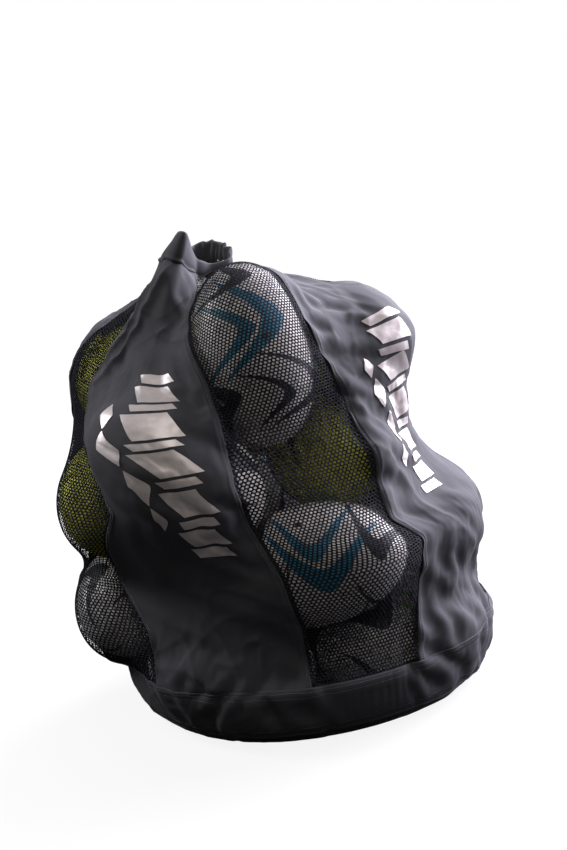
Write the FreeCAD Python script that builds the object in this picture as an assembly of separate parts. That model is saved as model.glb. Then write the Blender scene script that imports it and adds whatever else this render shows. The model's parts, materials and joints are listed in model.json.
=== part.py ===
"""Ball carry bag, filled with rugby balls and stood on its base.

The frame is in millimetres: origin on the floor under the middle of the base, +Z up, front towards -Y.
The balls are placed first.  The bag is then drawn taut round them, from the base to the gathered mouth,
and cut into its panels along the seams.
"""
import FreeCAD, Part
import os
from math import atan2, ceil, cos, degrees, pi, radians, sin, sqrt

Vector = FreeCAD.Vector

# ---- Driving dimensions: the balls ---------------------------------------------------------------
BALL_LENGTH = 275.0         # size 4 rugby ball, tip to tip
BALL_DIAMETER = 177.0       # across the middle
COVER_WALL = 2.0            # rubber and textile cover
BLADDER_WALL = 0.8
BLADDER_GAP = 0.1           # between cover and bladder
VALVE_DIAMETER = 9.0        # the bladder's stem, flush with the cover
VALVE_GAP = 0.15            # all round the stem
NEEDLE_BORE = 1.8
BALL_GAP = 0.8              # least space between two balls

# ---- Driving dimensions: the bag -----------------------------------------------------------------
CLOTH = 1.0                 # coated nylon and net, as thick as where they are folded and sewn
BASE_SHEET = 1.6            # stiff sheet in the bottom
BASE_SHEET_GAP = 0.5        # between the sheet and the band round it
BAND_TOP = 92.0             # height of the seam between band and panels
BALL_TO_CLOTH = 8.0         # room between a ball and the outside of the cloth: cloth, tape and play
TAPE_WIDTH = 12.0           # binding tape inside each seam
TAPE = 0.8
TAPE_GAP = 0.35             # between tape and cloth
PIPING_WIDTH = 5.0          # round the lower edge of the band
PIPING_DEPTH = 3.5
PIPING_GAP = 0.35
PIPING_ROW = 3              # the step of the base profile that it follows
NECK_X = -93.0              # middle of the drawn-in neck
NECK_Y = 10.0
NECK_BELOW_LOAD = 4.5       # from the top of the highest ball down to the neck
NECK_RADIUS = 44.0
NECK_LIFT = 76.0            # degrees above level of the last row's rays
GATHERS = 8                 # folds round the neck
GATHER_DEPTH = 3.0
HEM_HEIGHT = 40.0           # cord tunnel round the mouth
HEM_THICKNESS = 6.0
HEM_FLARE = 4.0             # how far the mouth opens above the neck
TUNNEL_MARGIN = 4.0         # stitched edge above and below the tunnel
PEAK_RISE = 16.0            # the front left corner of the hem stands this much higher
PEAK_ANGLE = 325.0
PEAK_SPREAD = 60.0
EYELET_DIAMETER = 13.0
EYELET_BORE = 7.0
EYELET_BARREL = 0.8         # wall of the tube through the cloth
EYELET_RIM = 0.8            # half of it sunk in the cloth
EYELET_GAP = 0.15
EYELET_ANGLES = (171.0, 189.0)

# The balls: x, y, z of the middle, heading and rise of the long axis, turn about it, in degrees.
BALLS = {
    "bottom_front_right": (124, -138, 90, 30, 0, 40),
    "bottom_front_left": (-118, -148, 90, -32, 0, 10),
    "bottom_left": (-243, 30, 166, 80, 0, 75),
    "bottom_right": (140, 132, 90, 130, 0, 20),
    "bottom_back": (-98, 166, 90, 32, 0, 60),
    "middle_front": (16, -192, 240, -7, 6, 30),
    "middle_right": (194, 2, 228, 92, 2, 80),
    "middle_back": (-10, 146, 247, 20, 0, 15),
    "middle_left": (-252, -8, 344, 86, 5, 50),
    "upper_left": (-211, 75, 502, 81, 8, 65),
    "upper_right": (73, -50, 367, 112, 0, 25),
    "upper_front": (-142, -172, 402, -22, -36, 70),
    "upper_back": (-44, 200, 404, -2, 2, 45),
    "top_front": (-18, -108, 541, 100, 64, 5),
    "top_right": (106, 57, 510, -50, 5, 55),
}

# The bag's own outline.  The band's outside: how far each step lies inside its widest radius, and its height.
BAND_RADIUS = 284.0
BASE_PROFILE = ((69, 0), (44, 4), (27, 14), (15, 27), (8, 40), (4, 54), (1.5, 68), (0.5, 80))
# The line that the load leans along: x, y and height.
SPINE = ((0, 0, 0), (0, 0, 180), (-15, 0, 260), (-50, 0, 340), (-66, 0, 420), (-92, 12, 500))
FAN_START = 400.0           # above this height the rows tilt up towards the neck
FAN_END = 500.0
ROW_STEP = 12.0
FAN_ROWS = 24
HEM_ROWS = 3
COLUMN_STEP = 4.5           # degrees
# Each seam: the angle from the front towards +X, as pairs of row height and angle.  A row that tilts
# up towards the neck has the height of its middle plus its tilt in degrees.
SEAMS = {
    "front_left": ((92, -2), (420, -2), (465, -5), (495, -12), (540, -8), (580, -4)),
    "front_right": ((92, 32), (200, 40), (260, 45), (303, 38), (345, 44), (430, 50), (470, 46), (545, 40), (580, 32)),
    "right_front": ((92, 87), (300, 92), (430, 104), (580, 100)),
    "right_back": ((92, 123), (580, 123)),
    "back_right": ((92, 177), (580, 177)),
    "back_left": ((92, 213), (580, 213)),
    "left_back": ((92, 267), (400, 262), (580, 255)),
    "left_front": ((92, 308), (170, 305), (240, 293), (300, 301), (364, 313), (405, 308), (430, 283),
                   (520, 278), (580, 285)),
}
PANELS = (
    ("front_mesh", "front_left", "front_right"),
    ("front_right_nylon", "front_right", "right_front"),
    ("right_mesh", "right_front", "right_back"),
    ("back_right_nylon", "right_back", "back_right"),
    ("back_mesh", "back_right", "back_left"),
    ("back_left_nylon", "back_left", "left_back"),
    ("left_mesh", "left_back", "left_front"),
    ("front_left_nylon", "left_front", "front_left"),
)
SWEEPS = 160                # passes that draw the cloth taut


# ---- Small helpers -------------------------------------------------------------------------------
def read(table, place):
    """Value beside place in pairs of place and value, on straight lines between them."""
    for (x0, y0), (x1, y1) in zip(table, table[1:]):
        if place <= x1:
            return y0 + (y1 - y0) * max(place - x0, 0.0) / (x1 - x0)
    return table[-1][1]


def read_spine(height):
    x = read([(p[2], p[0]) for p in SPINE], height)
    y = read([(p[2], p[1]) for p in SPINE], height)
    return Vector(x, y, height)


def direction(heading, rise):
    """Unit vector from a heading and a rise in degrees."""
    flat = cos(radians(rise))
    return Vector(flat * cos(radians(heading)), flat * sin(radians(heading)), sin(radians(rise)))


def export(shape, node):
    os.makedirs("parts", exist_ok=True)
    shape.exportStep("parts/" + node + ".step")


# ---- The load: balls that touch nothing ----------------------------------------------------------
def nearness(axis_a, axis_b, between, half_length, radius):
    """Below 1 where two equal balls overlap: the largest value of the contact function of their middles."""
    square = radius * radius
    extra = half_length * half_length - square
    along_a, along_b = between.dot(axis_a), between.dot(axis_b)
    cross, length = axis_a.dot(axis_b), between.dot(between)

    def contact(t):
        a = 1 / max((1 - t) * extra, 1e-6) + 1 / square
        b = 1 / max(t * extra, 1e-6) + 1 / square
        c = cross / square
        bent = (along_a ** 2 * b - 2 * along_a * along_b * c + along_b ** 2 * a) / (a * b - c * c)
        return t * (1 - t) * (length / square - bent / square ** 2)

    low, high = 0.0, 1.0
    for _ in range(40):
        left, right = low + (high - low) / 3, high - (high - low) / 3
        if contact(left) < contact(right):
            low = left
        else:
            high = right
    return contact((low + high) / 2)


def half_height(axis, half_length, radius):
    """From a ball's middle to its highest point."""
    return sqrt(radius ** 2 + (half_length ** 2 - radius ** 2) * axis.z ** 2)


def settle_balls():
    """Middle and axis of each ball, once those that overlap have moved apart."""
    half_length = (BALL_LENGTH + BALL_GAP) / 2
    radius = (BALL_DIAMETER + BALL_GAP) / 2
    names = list(BALLS)
    middles = [Vector(*BALLS[name][:3]) for name in names]
    axes = [direction(*BALLS[name][3:5]) for name in names]
    for _ in range(400):
        moved = False
        for i, middle in enumerate(middles):
            middle.z = max(middle.z, BASE_SHEET + BALL_GAP / 2 + half_height(axes[i], half_length, radius))
            for j in range(i):
                between = middle - middles[j]
                if between.Length > 2 * half_length:
                    continue
                near = nearness(axes[i], axes[j], between, half_length, radius)
                if near < 1:
                    step = (1 / sqrt(near) - 1) * between.Length / 4 + 0.005
                    middle += between.normalize() * step
                    middles[i] = middle
                    middles[j] = middles[j] - between * step
                    moved = True
        if not moved:
            break
    return {name: (middles[i], axes[i]) for i, name in enumerate(names)}


def half_outline(half_length, radius):
    """Half ellipse over the X axis."""
    ellipse = Part.Ellipse(Vector(half_length, 0, 0), Vector(0, radius, 0), Vector(0, 0, 0))
    return Part.Arc(ellipse, 0, pi).toBSpline().toShape()


def quarter_shells(half_length, radius, wall):
    """Four equal solids that make a hollow ball about X; the middle of the first faces up."""
    outer, inner = half_outline(half_length, radius), half_outline(half_length - wall, radius - wall)
    tips = [Part.makeLine(Vector(side * half_length, 0, 0), Vector(side * (half_length - wall), 0, 0))
            for side in (1, -1)]
    section = Part.Face(Part.Wire(Part.__sortEdges__([outer, tips[0], inner, tips[1]])))
    axis = (Vector(0, 0, 0), Vector(1, 0, 0))
    quarters = []
    for k in range(4):
        start = section.copy()
        start.rotate(*axis, 45 + 90 * k)
        quarters.append(start.revolve(*axis, 90))
    return quarters


def ball_pieces():
    """Cover and bladder with their middle at the origin, long axis along X and the valve up."""
    half_length, radius = BALL_LENGTH / 2, BALL_DIAMETER / 2
    hole = Part.makeCylinder(VALVE_DIAMETER / 2 + VALVE_GAP, radius)
    panels = quarter_shells(half_length, radius, COVER_WALL)
    cover = Part.makeCompound([panels[0].cut(hole)] + panels[1:])
    inset = COVER_WALL + BLADDER_GAP
    walls = quarter_shells(half_length - inset, radius - inset, BLADDER_WALL)
    stem_foot = radius - inset - 2 * BLADDER_WALL
    stem = Part.makeCylinder(VALVE_DIAMETER / 2, radius - VALVE_GAP - stem_foot, Vector(0, 0, stem_foot))
    needle = Part.makeCylinder(NEEDLE_BORE / 2, radius)
    bladder = walls[0].multiFuse(walls[1:] + [stem]).cut(needle)
    return cover, bladder


def place_ball(shape, middle, name):
    heading, rise, turn = BALLS[name][3:]
    rotation = (FreeCAD.Rotation(Vector(0, 0, 1), heading)
                * FreeCAD.Rotation(Vector(0, 1, 0), -rise)
                * FreeCAD.Rotation(Vector(1, 0, 0), turn))
    placed = shape.copy()
    placed.Placement = FreeCAD.Placement(middle, rotation)
    return placed


# ---- The bag's outer surface ---------------------------------------------------------------------
def make_rows():
    """Middle, tilt in radians and seam height of each row above the band's top edge."""
    count = round((FAN_START - BAND_TOP) / ROW_STEP)
    heights = [BAND_TOP + (FAN_START - BAND_TOP) * i / count for i in range(count + 1)]
    rows = [(read_spine(height), 0.0, height) for height in heights]
    for i in range(1, FAN_ROWS + 1):
        share = i / FAN_ROWS
        height = FAN_START + (FAN_END - FAN_START) * share
        rows.append((read_spine(height), radians(NECK_LIFT) * share, height + NECK_LIFT * share))
    return rows


def panel_columns():
    """Number of columns in each panel."""
    counts = []
    for _, left, right in PANELS:
        width = (SEAMS[right][0][1] - SEAMS[left][0][1]) % 360
        counts.append(ceil(width / COLUMN_STEP))
    return counts


def row_angles(height, counts):
    """Angle of each column of a row, in radians from +X."""
    angles = []
    for (_, left, right), count in zip(PANELS, counts):
        start = read(SEAMS[left], height)
        width = (read(SEAMS[right], height) - start) % 360
        angles += [radians(start + width * i / count - 90) for i in range(count)]
    return angles


def last_exit(start, ray, balls):
    """Distance along a ray to where it leaves the last grown ball, 0 if it meets none."""
    length = BALL_LENGTH / 2 + BALL_TO_CLOTH
    radius = BALL_DIAMETER / 2 + BALL_TO_CLOTH
    round_term = 1 / radius ** 2
    long_term = 1 / length ** 2 - round_term
    farthest = 0.0
    for middle, axis in balls:
        offset = start - middle
        offset_axis, ray_axis = offset.dot(axis), ray.dot(axis)
        a = round_term + long_term * ray_axis ** 2
        b = offset.dot(ray) * round_term + long_term * offset_axis * ray_axis
        c = offset.dot(offset) * round_term + long_term * offset_axis ** 2 - 1
        if b * b > a * c:
            farthest = max(farthest, (sqrt(b * b - a * c) - b) / a)
    return farthest


def neck_point(angle, neck_height):
    """Point of the gathered neck at an angle from +X."""
    turn = degrees(angle) + 90
    near = max(0.0, 1 - abs((turn - PEAK_ANGLE + 180) % 360 - 180) / PEAK_SPREAD)
    radius = NECK_RADIUS + GATHER_DEPTH / 2 * cos(GATHERS * angle)
    height = neck_height + PEAK_RISE * near * near * (3 - 2 * near)
    return Vector(NECK_X + radius * cos(angle), NECK_Y + radius * sin(angle), height)


def draw_taut(balls, counts):
    """Grid of points on the outside of the cloth, rows from the band's top edge to the neck."""
    rows = make_rows()
    angles = [row_angles(height, counts) for _, _, height in rows]
    rays = [[Vector(cos(tilt) * cos(a), cos(tilt) * sin(a), sin(tilt)) for a in line]
            for (_, tilt, _), line in zip(rows, angles)]
    least = [[last_exit(row[0], ray, balls) for ray in line] for row, line in zip(rows, rays)]
    width = len(rays[0])
    last = len(rows) - 1
    reach = [[max(value, BALL_DIAMETER) for value in line] for line in least]
    grid = [[row[0] + ray * r for ray, r in zip(line, lengths)] for row, line, lengths in zip(rows, rays, reach)]
    grid[0] = [band_point(BAND_RADIUS, BAND_TOP, angle, balls) for angle in angles[0]]
    load_top = max(middle.z + half_height(axis, BALL_LENGTH / 2, BALL_DIAMETER / 2) for middle, axis in balls)
    grid[last] = [neck_point(angle, load_top - NECK_BELOW_LOAD) for angle in angles[last]]
    for _ in range(SWEEPS):
        for j in range(1, last):
            middle = rows[j][0]
            for k in range(width):
                pull = grid[j][k - 1] + grid[j][(k + 1) % width] + grid[j - 1][k] + grid[j + 1][k]
                ray = rays[j][k]
                length = max((pull * 0.25 - middle).dot(ray), least[j][k])
                grid[j][k] = middle + ray * length
    return grid


def whole_grid(balls, counts):
    """Rows of the whole outside: the band's, the panels' and the hem's.  Neighbours share a row."""
    angles = row_angles(BAND_TOP, counts)
    under = [[band_point(BAND_RADIUS - inset, height, angle, balls) for angle in angles]
             for inset, height in BASE_PROFILE]
    side = draw_taut(balls, counts)
    hem = []
    for i in range(1, HEM_ROWS + 1):
        share = i / HEM_ROWS
        hem.append([point + hem_rise(point) * share for point in side[-1]])
    return under + side + hem


def band_point(radius, height, angle, balls):
    """Point of the band, pushed out where a ball leans on it."""
    middle, ray = Vector(0, 0, height), Vector(cos(angle), sin(angle), 0)
    return middle + ray * max(radius, last_exit(middle, ray, balls))


def hem_rise(point):
    """From a point of the neck to the rim above it."""
    flat = Vector(point.x - NECK_X, point.y - NECK_Y, 0).normalize()
    return flat * HEM_FLARE + Vector(0, 0, HEM_HEIGHT)


def outward(grid):
    """Unit normals of a grid that closes on itself sideways."""
    last = len(grid) - 1
    width = len(grid[0])
    normals = []
    for j in range(last + 1):
        line = []
        for k in range(width):
            across = grid[j][(k + 1) % width] - grid[j][k - 1]
            up = grid[min(j + 1, last)][k] - grid[max(j - 1, 0)][k]
            line.append(across.cross(up).normalize())
        normals.append(line)
    return normals


def shifted(grid, normals, depth):
    return [[p - n * depth for p, n in zip(points, directions)] for points, directions in zip(grid, normals)]


# ---- Cloth solids --------------------------------------------------------------------------------
def knots(count, degree):
    steps = count - degree
    return [degree + 1] + [1] * (steps - 1) + [degree + 1], [float(i) for i in range(steps + 1)]


def surface(poles):
    """Surface over a net of poles; it passes through the outer edges of the net."""
    degree_u, degree_v = min(3, len(poles) - 1), min(3, len(poles[0]) - 1)
    mults_u, knots_u = knots(len(poles), degree_u)
    mults_v, knots_v = knots(len(poles[0]), degree_v)
    patch = Part.BSplineSurface()
    patch.buildFromPolesMultsKnots(poles, mults_u, mults_v, knots_u, knots_v, False, False, degree_u, degree_v)
    return patch


def solid_of(faces):
    shell = Part.makeShell(faces)
    shell.sewShape()
    solid = Part.Solid(Part.Shell(shell.Faces))
    if solid.Volume < 0:
        solid.reverse()
    return solid


def sheet(outer, inner):
    """Solid between two nets of poles that have the same edges' rows and columns."""
    faces = [surface(outer).toShape(), surface(inner).toShape()]
    for pick in (lambda net: net[0], lambda net: net[-1],
                 lambda net: [line[0] for line in net], lambda net: [line[-1] for line in net]):
        faces.append(surface([pick(outer), pick(inner)]).toShape())
    return solid_of(faces)


def ring(outer, inner, counts):
    """Closed ring between two nets, made of one patch per panel."""
    faces = []
    for columns in panel_slices(counts):
        out = [[line[k] for k in columns] for line in outer]
        inn = [[line[k] for k in columns] for line in inner]
        faces += [surface(out).toShape(), surface(inn).toShape()]
        faces += [surface([out[0], inn[0]]).toShape(), surface([out[-1], inn[-1]]).toShape()]
    return solid_of(faces)


def panel_slices(counts):
    """Column numbers of each panel, with both its seams."""
    total = sum(counts)
    start = 0
    for count in counts:
        yield [(start + k) % total for k in range(count + 1)]
        start += count


def cut_out(grid, columns):
    return [[line[k] for k in columns] for line in grid]


# ---- Pieces of the bag ---------------------------------------------------------------------------
def base_sheet():
    return Part.makeCylinder(BAND_RADIUS - BASE_PROFILE[0][0] - BASE_SHEET_GAP, BASE_SHEET)


def base_piping(grid, normals, counts):
    """Bead round the band's lower edge, on the outside."""
    nets = []
    for depths in ((PIPING_DEPTH / 4, PIPING_DEPTH, PIPING_DEPTH / 4), (0, 0, 0)):
        net = []
        for side, depth in zip((-1, 0, 1), depths):
            line = []
            for here, there, out in zip(grid[PIPING_ROW], grid[PIPING_ROW + 1], normals[PIPING_ROW]):
                along_band = (there - here).normalize() * (side * PIPING_WIDTH / 2)
                line.append(here + along_band + out * (PIPING_GAP + depth))
            net.append(line)
        nets.append(net)
    return ring(nets[0], nets[1], counts)


def seam_lines(left, right, depth):
    """Points on, left of and right of a seam, at a depth under the inner faces that meet there."""
    u_end, v_end = left.getUKnots()[-1], left.getVKnots()[-1]
    lines = []
    for i in range(1, 2 * round(u_end) - 2):
        u = i / 2
        seam = right.value(u, 0)
        line, inward = [], []
        for face, v_seam, sign in ((left, v_end, -1), (right, 0.0, 1)):
            unit = (face.value(u, v_seam + sign * 0.5) - seam).Length / 0.5
            v = v_seam + sign * min(TAPE_WIDTH / 2 / unit, 0.9)
            line.append(face.value(u, v) + inner_side(face, u, v) * depth)
            inward.append(inner_side(face, u, v_seam))
        middle = (inward[0] + inward[1]).normalize()
        lines.append([line[0], seam + middle * depth, line[1]])
    return lines


def inner_side(face, u, v):
    """Unit vector at a point of a surface, towards the inside of the bag."""
    up, across = face.tangent(u, v)
    return up.cross(across).normalize()


def seam_tape(left, right):
    """Binding tape inside the seam between two panels, in two halves that meet on the seam."""
    outer = seam_lines(left, right, TAPE_GAP)
    inner = seam_lines(left, right, TAPE_GAP + TAPE)
    faces = []
    for columns in ((0, 1), (1, 2)):
        out, inn = cut_out(outer, columns), cut_out(inner, columns)
        faces += [surface(out).toShape(), surface(inn).toShape()]
        faces += [surface([out[0], inn[0]]).toShape(), surface([out[-1], inn[-1]]).toShape()]
    for k in (0, 2):
        faces.append(surface([[out[k], inn[k]] for out, inn in zip(outer, inner)]).toShape())
    return solid_of(faces)


def band_seam_tape(grid, normals, counts):
    """Ring of tape inside the band, under its upper edge."""
    row = len(BASE_PROFILE)
    tops, bottoms = grid[row], grid[row - 1]
    nets = []
    for depth in (CLOTH + TAPE_GAP, CLOTH + TAPE_GAP + TAPE):
        net = []
        for share in (TAPE_WIDTH / (BAND_TOP - BASE_PROFILE[-1][1]), 1 / TAPE_WIDTH):
            net.append([top + (bottom - top) * share - normal * depth
                        for top, bottom, normal in zip(tops, bottoms, normals[row])])
        nets.append(net)
    return ring(nets[0], nets[1], counts)


def eyelet_places(grid, normals):
    """Middle and outward direction of each eyelet, half way up the hem."""
    neck, rim = grid[-1 - HEM_ROWS], grid[-1]
    for angle in EYELET_ANGLES:
        wanted = radians(angle - 90)
        k = min(range(len(neck)), key=lambda i: abs(atan2(sin(turn_of(neck[i]) - wanted),
                                                          cos(turn_of(neck[i]) - wanted))))
        yield (neck[k] + rim[k]) * 0.5, (normals[-1 - HEM_ROWS][k] + normals[-1][k]).normalize()


def turn_of(point):
    return atan2(point.y - NECK_Y, point.x - NECK_X)


def mouth_hem(grid, normals, counts):
    """Hem round the mouth with the empty cord tunnel in it and the seats of the eyelets."""
    first = len(grid) - 1 - HEM_ROWS
    hem = ring(grid[first:], shifted(grid[first:], normals[first:], HEM_THICKNESS), counts)
    nets = []
    for depth in (CLOTH, HEM_THICKNESS - CLOTH):
        net = []
        for share in (TUNNEL_MARGIN / HEM_HEIGHT, 0.5, 1 - TUNNEL_MARGIN / HEM_HEIGHT):
            points = [low + (high - low) * share for low, high in zip(grid[first], grid[-1])]
            sides = [(low + (high - low) * share).normalize() for low, high in zip(normals[first], normals[-1])]
            net.append([point - side * depth for point, side in zip(points, sides)])
        nets.append(net)
    hem = hem.cut(ring(nets[0], nets[1], counts))
    for middle, out in eyelet_places(grid, normals):
        seat_depth = EYELET_RIM / 2 + EYELET_GAP
        seat = Part.makeCylinder(EYELET_DIAMETER / 2 + EYELET_GAP, 2 * HEM_THICKNESS, middle - out * seat_depth, out)
        barrel = Part.makeCylinder(EYELET_BORE / 2 + EYELET_BARREL + EYELET_GAP, HEM_THICKNESS,
                                   middle - out * (CLOTH + TAPE), out)
        hem = hem.cut(seat).cut(barrel)
    return hem


def hem_eyelets(grid, normals):
    eyelets = []
    for middle, out in eyelet_places(grid, normals):
        rim_foot = middle - out * (EYELET_RIM / 2)
        rim = Part.makeCylinder(EYELET_DIAMETER / 2, EYELET_RIM, rim_foot, out)
        barrel_foot = middle - out * CLOTH
        barrel = Part.makeCylinder(EYELET_BORE / 2 + EYELET_BARREL, CLOTH, barrel_foot, out)
        bore = Part.makeCylinder(EYELET_BORE / 2, 2 * HEM_THICKNESS, middle - out * HEM_THICKNESS, out)
        eyelets.append(rim.fuse(barrel).cut(bore))
    return Part.makeCompound(eyelets)


# ---- Build ---------------------------------------------------------------------------------------
def build_balls(balls):
    cover, bladder = ball_pieces()
    for name, (middle, _) in balls.items():
        export(place_ball(cover, middle, name), "cover_" + name)
        export(place_ball(bladder, middle, name), "bladder_" + name)


def build_bag(balls):
    counts = panel_columns()
    grid = whole_grid(list(balls.values()), counts)
    normals = outward(grid)
    inner = shifted(grid, normals, CLOTH)
    band_top = len(BASE_PROFILE)
    neck = len(grid) - HEM_ROWS
    export(base_sheet(), "base_sheet")
    export(base_piping(grid, normals, counts), "base_piping")
    export(ring(grid[:band_top + 1], inner[:band_top + 1], counts), "base_band")
    export(band_seam_tape(grid, normals, counts), "band_seam_tape")
    slices = list(panel_slices(counts))
    insides = []
    for (name, _, _), columns in zip(PANELS, slices):
        net = cut_out(inner[band_top:neck], columns)
        insides.append(surface(net))
        export(sheet(cut_out(grid[band_top:neck], columns), net), name)
    for i, (_, left_seam, _) in enumerate(PANELS):
        export(seam_tape(insides[i - 1], insides[i]), "seam_tape_" + left_seam)
    export(mouth_hem(grid, normals, counts), "mouth_hem")
    export(hem_eyelets(grid, normals), "hem_eyelets")


loaded = settle_balls()
build_balls(loaded)
build_bag(loaded)
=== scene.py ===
"""Carry bag of coated panels and net, filled with oval balls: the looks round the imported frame.

Laid out as a Blender add-on and run as a script.  The drape is worked out in millimetres and the
meshes are made in metres.  Angles round the bag are in degrees from the front (-Y) towards +X.
"""
import json
import math

import bpy
import numpy as np
from mathutils import Matrix, Vector
from mathutils.bvhtree import BVHTree

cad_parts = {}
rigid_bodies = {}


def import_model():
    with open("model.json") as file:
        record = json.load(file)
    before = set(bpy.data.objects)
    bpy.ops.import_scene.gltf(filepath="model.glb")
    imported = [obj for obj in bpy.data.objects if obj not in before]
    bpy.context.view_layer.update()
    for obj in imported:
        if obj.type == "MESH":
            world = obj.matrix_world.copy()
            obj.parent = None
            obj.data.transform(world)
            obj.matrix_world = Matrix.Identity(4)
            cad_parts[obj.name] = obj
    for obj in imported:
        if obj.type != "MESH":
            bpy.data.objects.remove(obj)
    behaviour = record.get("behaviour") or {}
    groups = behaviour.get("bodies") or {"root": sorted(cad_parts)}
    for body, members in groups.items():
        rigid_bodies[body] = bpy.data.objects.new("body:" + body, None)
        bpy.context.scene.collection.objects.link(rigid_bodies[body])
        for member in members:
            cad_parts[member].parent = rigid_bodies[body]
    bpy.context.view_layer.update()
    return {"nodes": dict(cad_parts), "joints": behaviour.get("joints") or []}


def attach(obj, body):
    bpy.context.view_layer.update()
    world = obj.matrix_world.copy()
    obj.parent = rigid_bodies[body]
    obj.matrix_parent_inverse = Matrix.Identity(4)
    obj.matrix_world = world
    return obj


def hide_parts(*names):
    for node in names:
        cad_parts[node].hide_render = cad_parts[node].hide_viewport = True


bl_info = {
    "name": "Ball Carry Bag",
    "version": (1, 0, 0),
    "blender": (4, 2, 0),
    "location": "View3D > Sidebar > Ball Bag",
    "description": "Builds a soft carry bag of coated panels and net, filled with oval balls",
    "category": "Add Mesh",
}

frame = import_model()

MM = 0.001
BAG = "bag"

# ---- The cut of the bag, in millimetres and degrees ----------------------------------------------
BASE_PROFILE = ((0, 215), (4, 240), (14, 257), (27, 269), (40, 276), (54, 280), (68, 282.5), (80, 283.5),
                (92, 284))
BAND_TOP = 92.0
FAN_START, FAN_END, FAN_LIFT = 400.0, 500.0, 76.0
SPINE = ((0, 0, 0), (180, 0, 0), (260, -15, 0), (340, -50, 0), (420, -66, 0), (500, -92, 12))
SEAMS = {
    "front_left": ((92, -2), (420, -2), (465, -5), (495, -12), (540, -8), (580, -4)),
    "front_right": ((92, 32), (200, 40), (260, 45), (303, 38), (345, 44), (430, 50), (470, 46), (545, 40),
                    (580, 32)),
    "right_front": ((92, 87), (300, 92), (430, 104), (580, 100)),
    "right_back": ((92, 123), (580, 123)),
    "back_right": ((92, 177), (580, 177)),
    "back_left": ((92, 213), (580, 213)),
    "left_back": ((92, 267), (400, 262), (580, 255)),
    "left_front": ((92, 308), (170, 305), (240, 293), (300, 301), (364, 313), (405, 308), (430, 283),
                   (520, 278), (580, 285)),
}
PANELS = (
    ("front_mesh", "front_left", "front_right"),
    ("front_right_nylon", "front_right", "right_front"),
    ("right_mesh", "right_front", "right_back"),
    ("back_right_nylon", "right_back", "back_right"),
    ("back_mesh", "back_right", "back_left"),
    ("back_left_nylon", "back_left", "left_back"),
    ("left_mesh", "left_back", "left_front"),
    ("front_left_nylon", "left_front", "front_left"),
)
NETS = [name for name, _, _ in PANELS if name.endswith("mesh")]
NYLONS = [name for name, _, _ in PANELS if name.endswith("nylon")]
# The gathered mouth: angle, then x, y, z of the hem's seam and of its rim.
MOUTH = (
    (285, -130, 4, 683, -100, 10, 716),
    (305, -131, -16, 689, -99, -12, 724),
    (318, -125, -30, 691, -97, -30, 729),
    (325, -110, -50, 690, -91, -46, 730),
    (332, -98, -55, 684, -84, -48, 727),
    (345, -92, -14, 664, -84, -10, 697),
    (356, -84, 8, 654, -78, 8, 676),
    (375, -62, 18, 652, -58, 22, 668),
    (392, -40, 26, 654, -36, 30, 670),
    (420, -30, 42, 656, -26, 46, 674),
    (447, -34, 56, 660, -30, 64, 684),
    (480, -50, 68, 664, -42, 80, 690),
    (510, -61, 76, 664, -52, 86, 694),
    (540, -78, 80, 664, -67, 88, 696),
    (560, -92, 74, 665, -82, 82, 690),
    (590, -110, 60, 669, -96, 62, 690),
    (615, -122, 36, 674, -99, 38, 704),
)
NECK = (-93, 10, 668, 44)    # middle and radius of the round neck that the frame's cloth ends in
CELL = 4                     # fine rows and columns in one coarse one
SIDE_ROWS, FAN_ROWS, BAND_ROWS = 52, 72, 16
BALL_LENGTH, BALL_DIAMETER = 275.0, 177.0
BALL_KEEP = 2.6              # from a ball's cover to the middle of the cloth
CLOTH_INSET = 2.5            # from the outside of the frame's cloth to the middle of this one
# Creases of the coated cloth: reach in rows and columns, turn, height in millimetres and sharpness.
CREASES = (((6.0, 12.0), 0.55, 2.6, 0.30), ((11.0, 4.5), -0.35, 2.2, 0.28), ((3.2, 4.0), 0.25, 1.3, 0.35),
           ((2.0, 7.0), -0.6, 1.0, 0.30))
# Long folds from the mouth over the front left panel: rows and columns of the crest, then height and
# reach in millimetres.
COLUMN_WIDTH = 6.0           # about the width of a fine column there
FOLDS = ((((92, 262), (101, 269), (109, 273.5), (117, 278), (127, 280), (138, 284)), 11.0, 9.0),
         (((96, 263), (105, 265), (113, 267.5), (122, 271), (132, 276)), 8.0, 7.0),
         (((84, 300), (90, 296), (97, 293), (104, 293)), 2.6, 7.0))


class BagSizes(bpy.types.PropertyGroup):
    """Sizes of the bag's details."""
    net_pitch: bpy.props.FloatProperty(
        name="Net pitch", description="Width of one hole with its strand", default=0.0063, unit="LENGTH")
    net_row: bpy.props.FloatProperty(
        name="Net row", description="Height of one row of holes", default=0.0047, unit="LENGTH")
    net_hole: bpy.props.FloatProperty(
        name="Net opening", description="Share of a net cell that is open, side to side", default=0.60,
        subtype="FACTOR")
    net_thickness: bpy.props.FloatProperty(
        name="Net thickness", description="Thickness of a strand", default=0.0009, unit="LENGTH")
    cloth: bpy.props.FloatProperty(
        name="Cloth", description="Thickness of the coated cloth", default=0.0008, unit="LENGTH")
    edge_fold: bpy.props.FloatProperty(
        name="Edge fold", description="Width of the folded edge of a panel", default=0.010, unit="LENGTH")
    stitch_inset: bpy.props.FloatProperty(
        name="Stitch inset", description="From a panel's edge to its stitching", default=0.005, unit="LENGTH")
    stitch_pitch: bpy.props.FloatProperty(
        name="Stitch pitch", description="Length of one stitch with its gap", default=0.0034, unit="LENGTH")
    slack: bpy.props.FloatProperty(
        name="Slack", description="Spare length that makes the cloth wrinkle", default=0.035,
        subtype="FACTOR")
    seam_groove: bpy.props.FloatProperty(
        name="Ball seam", description="Depth of the seams between a ball's panels", default=0.0009,
        unit="LENGTH")


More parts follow.
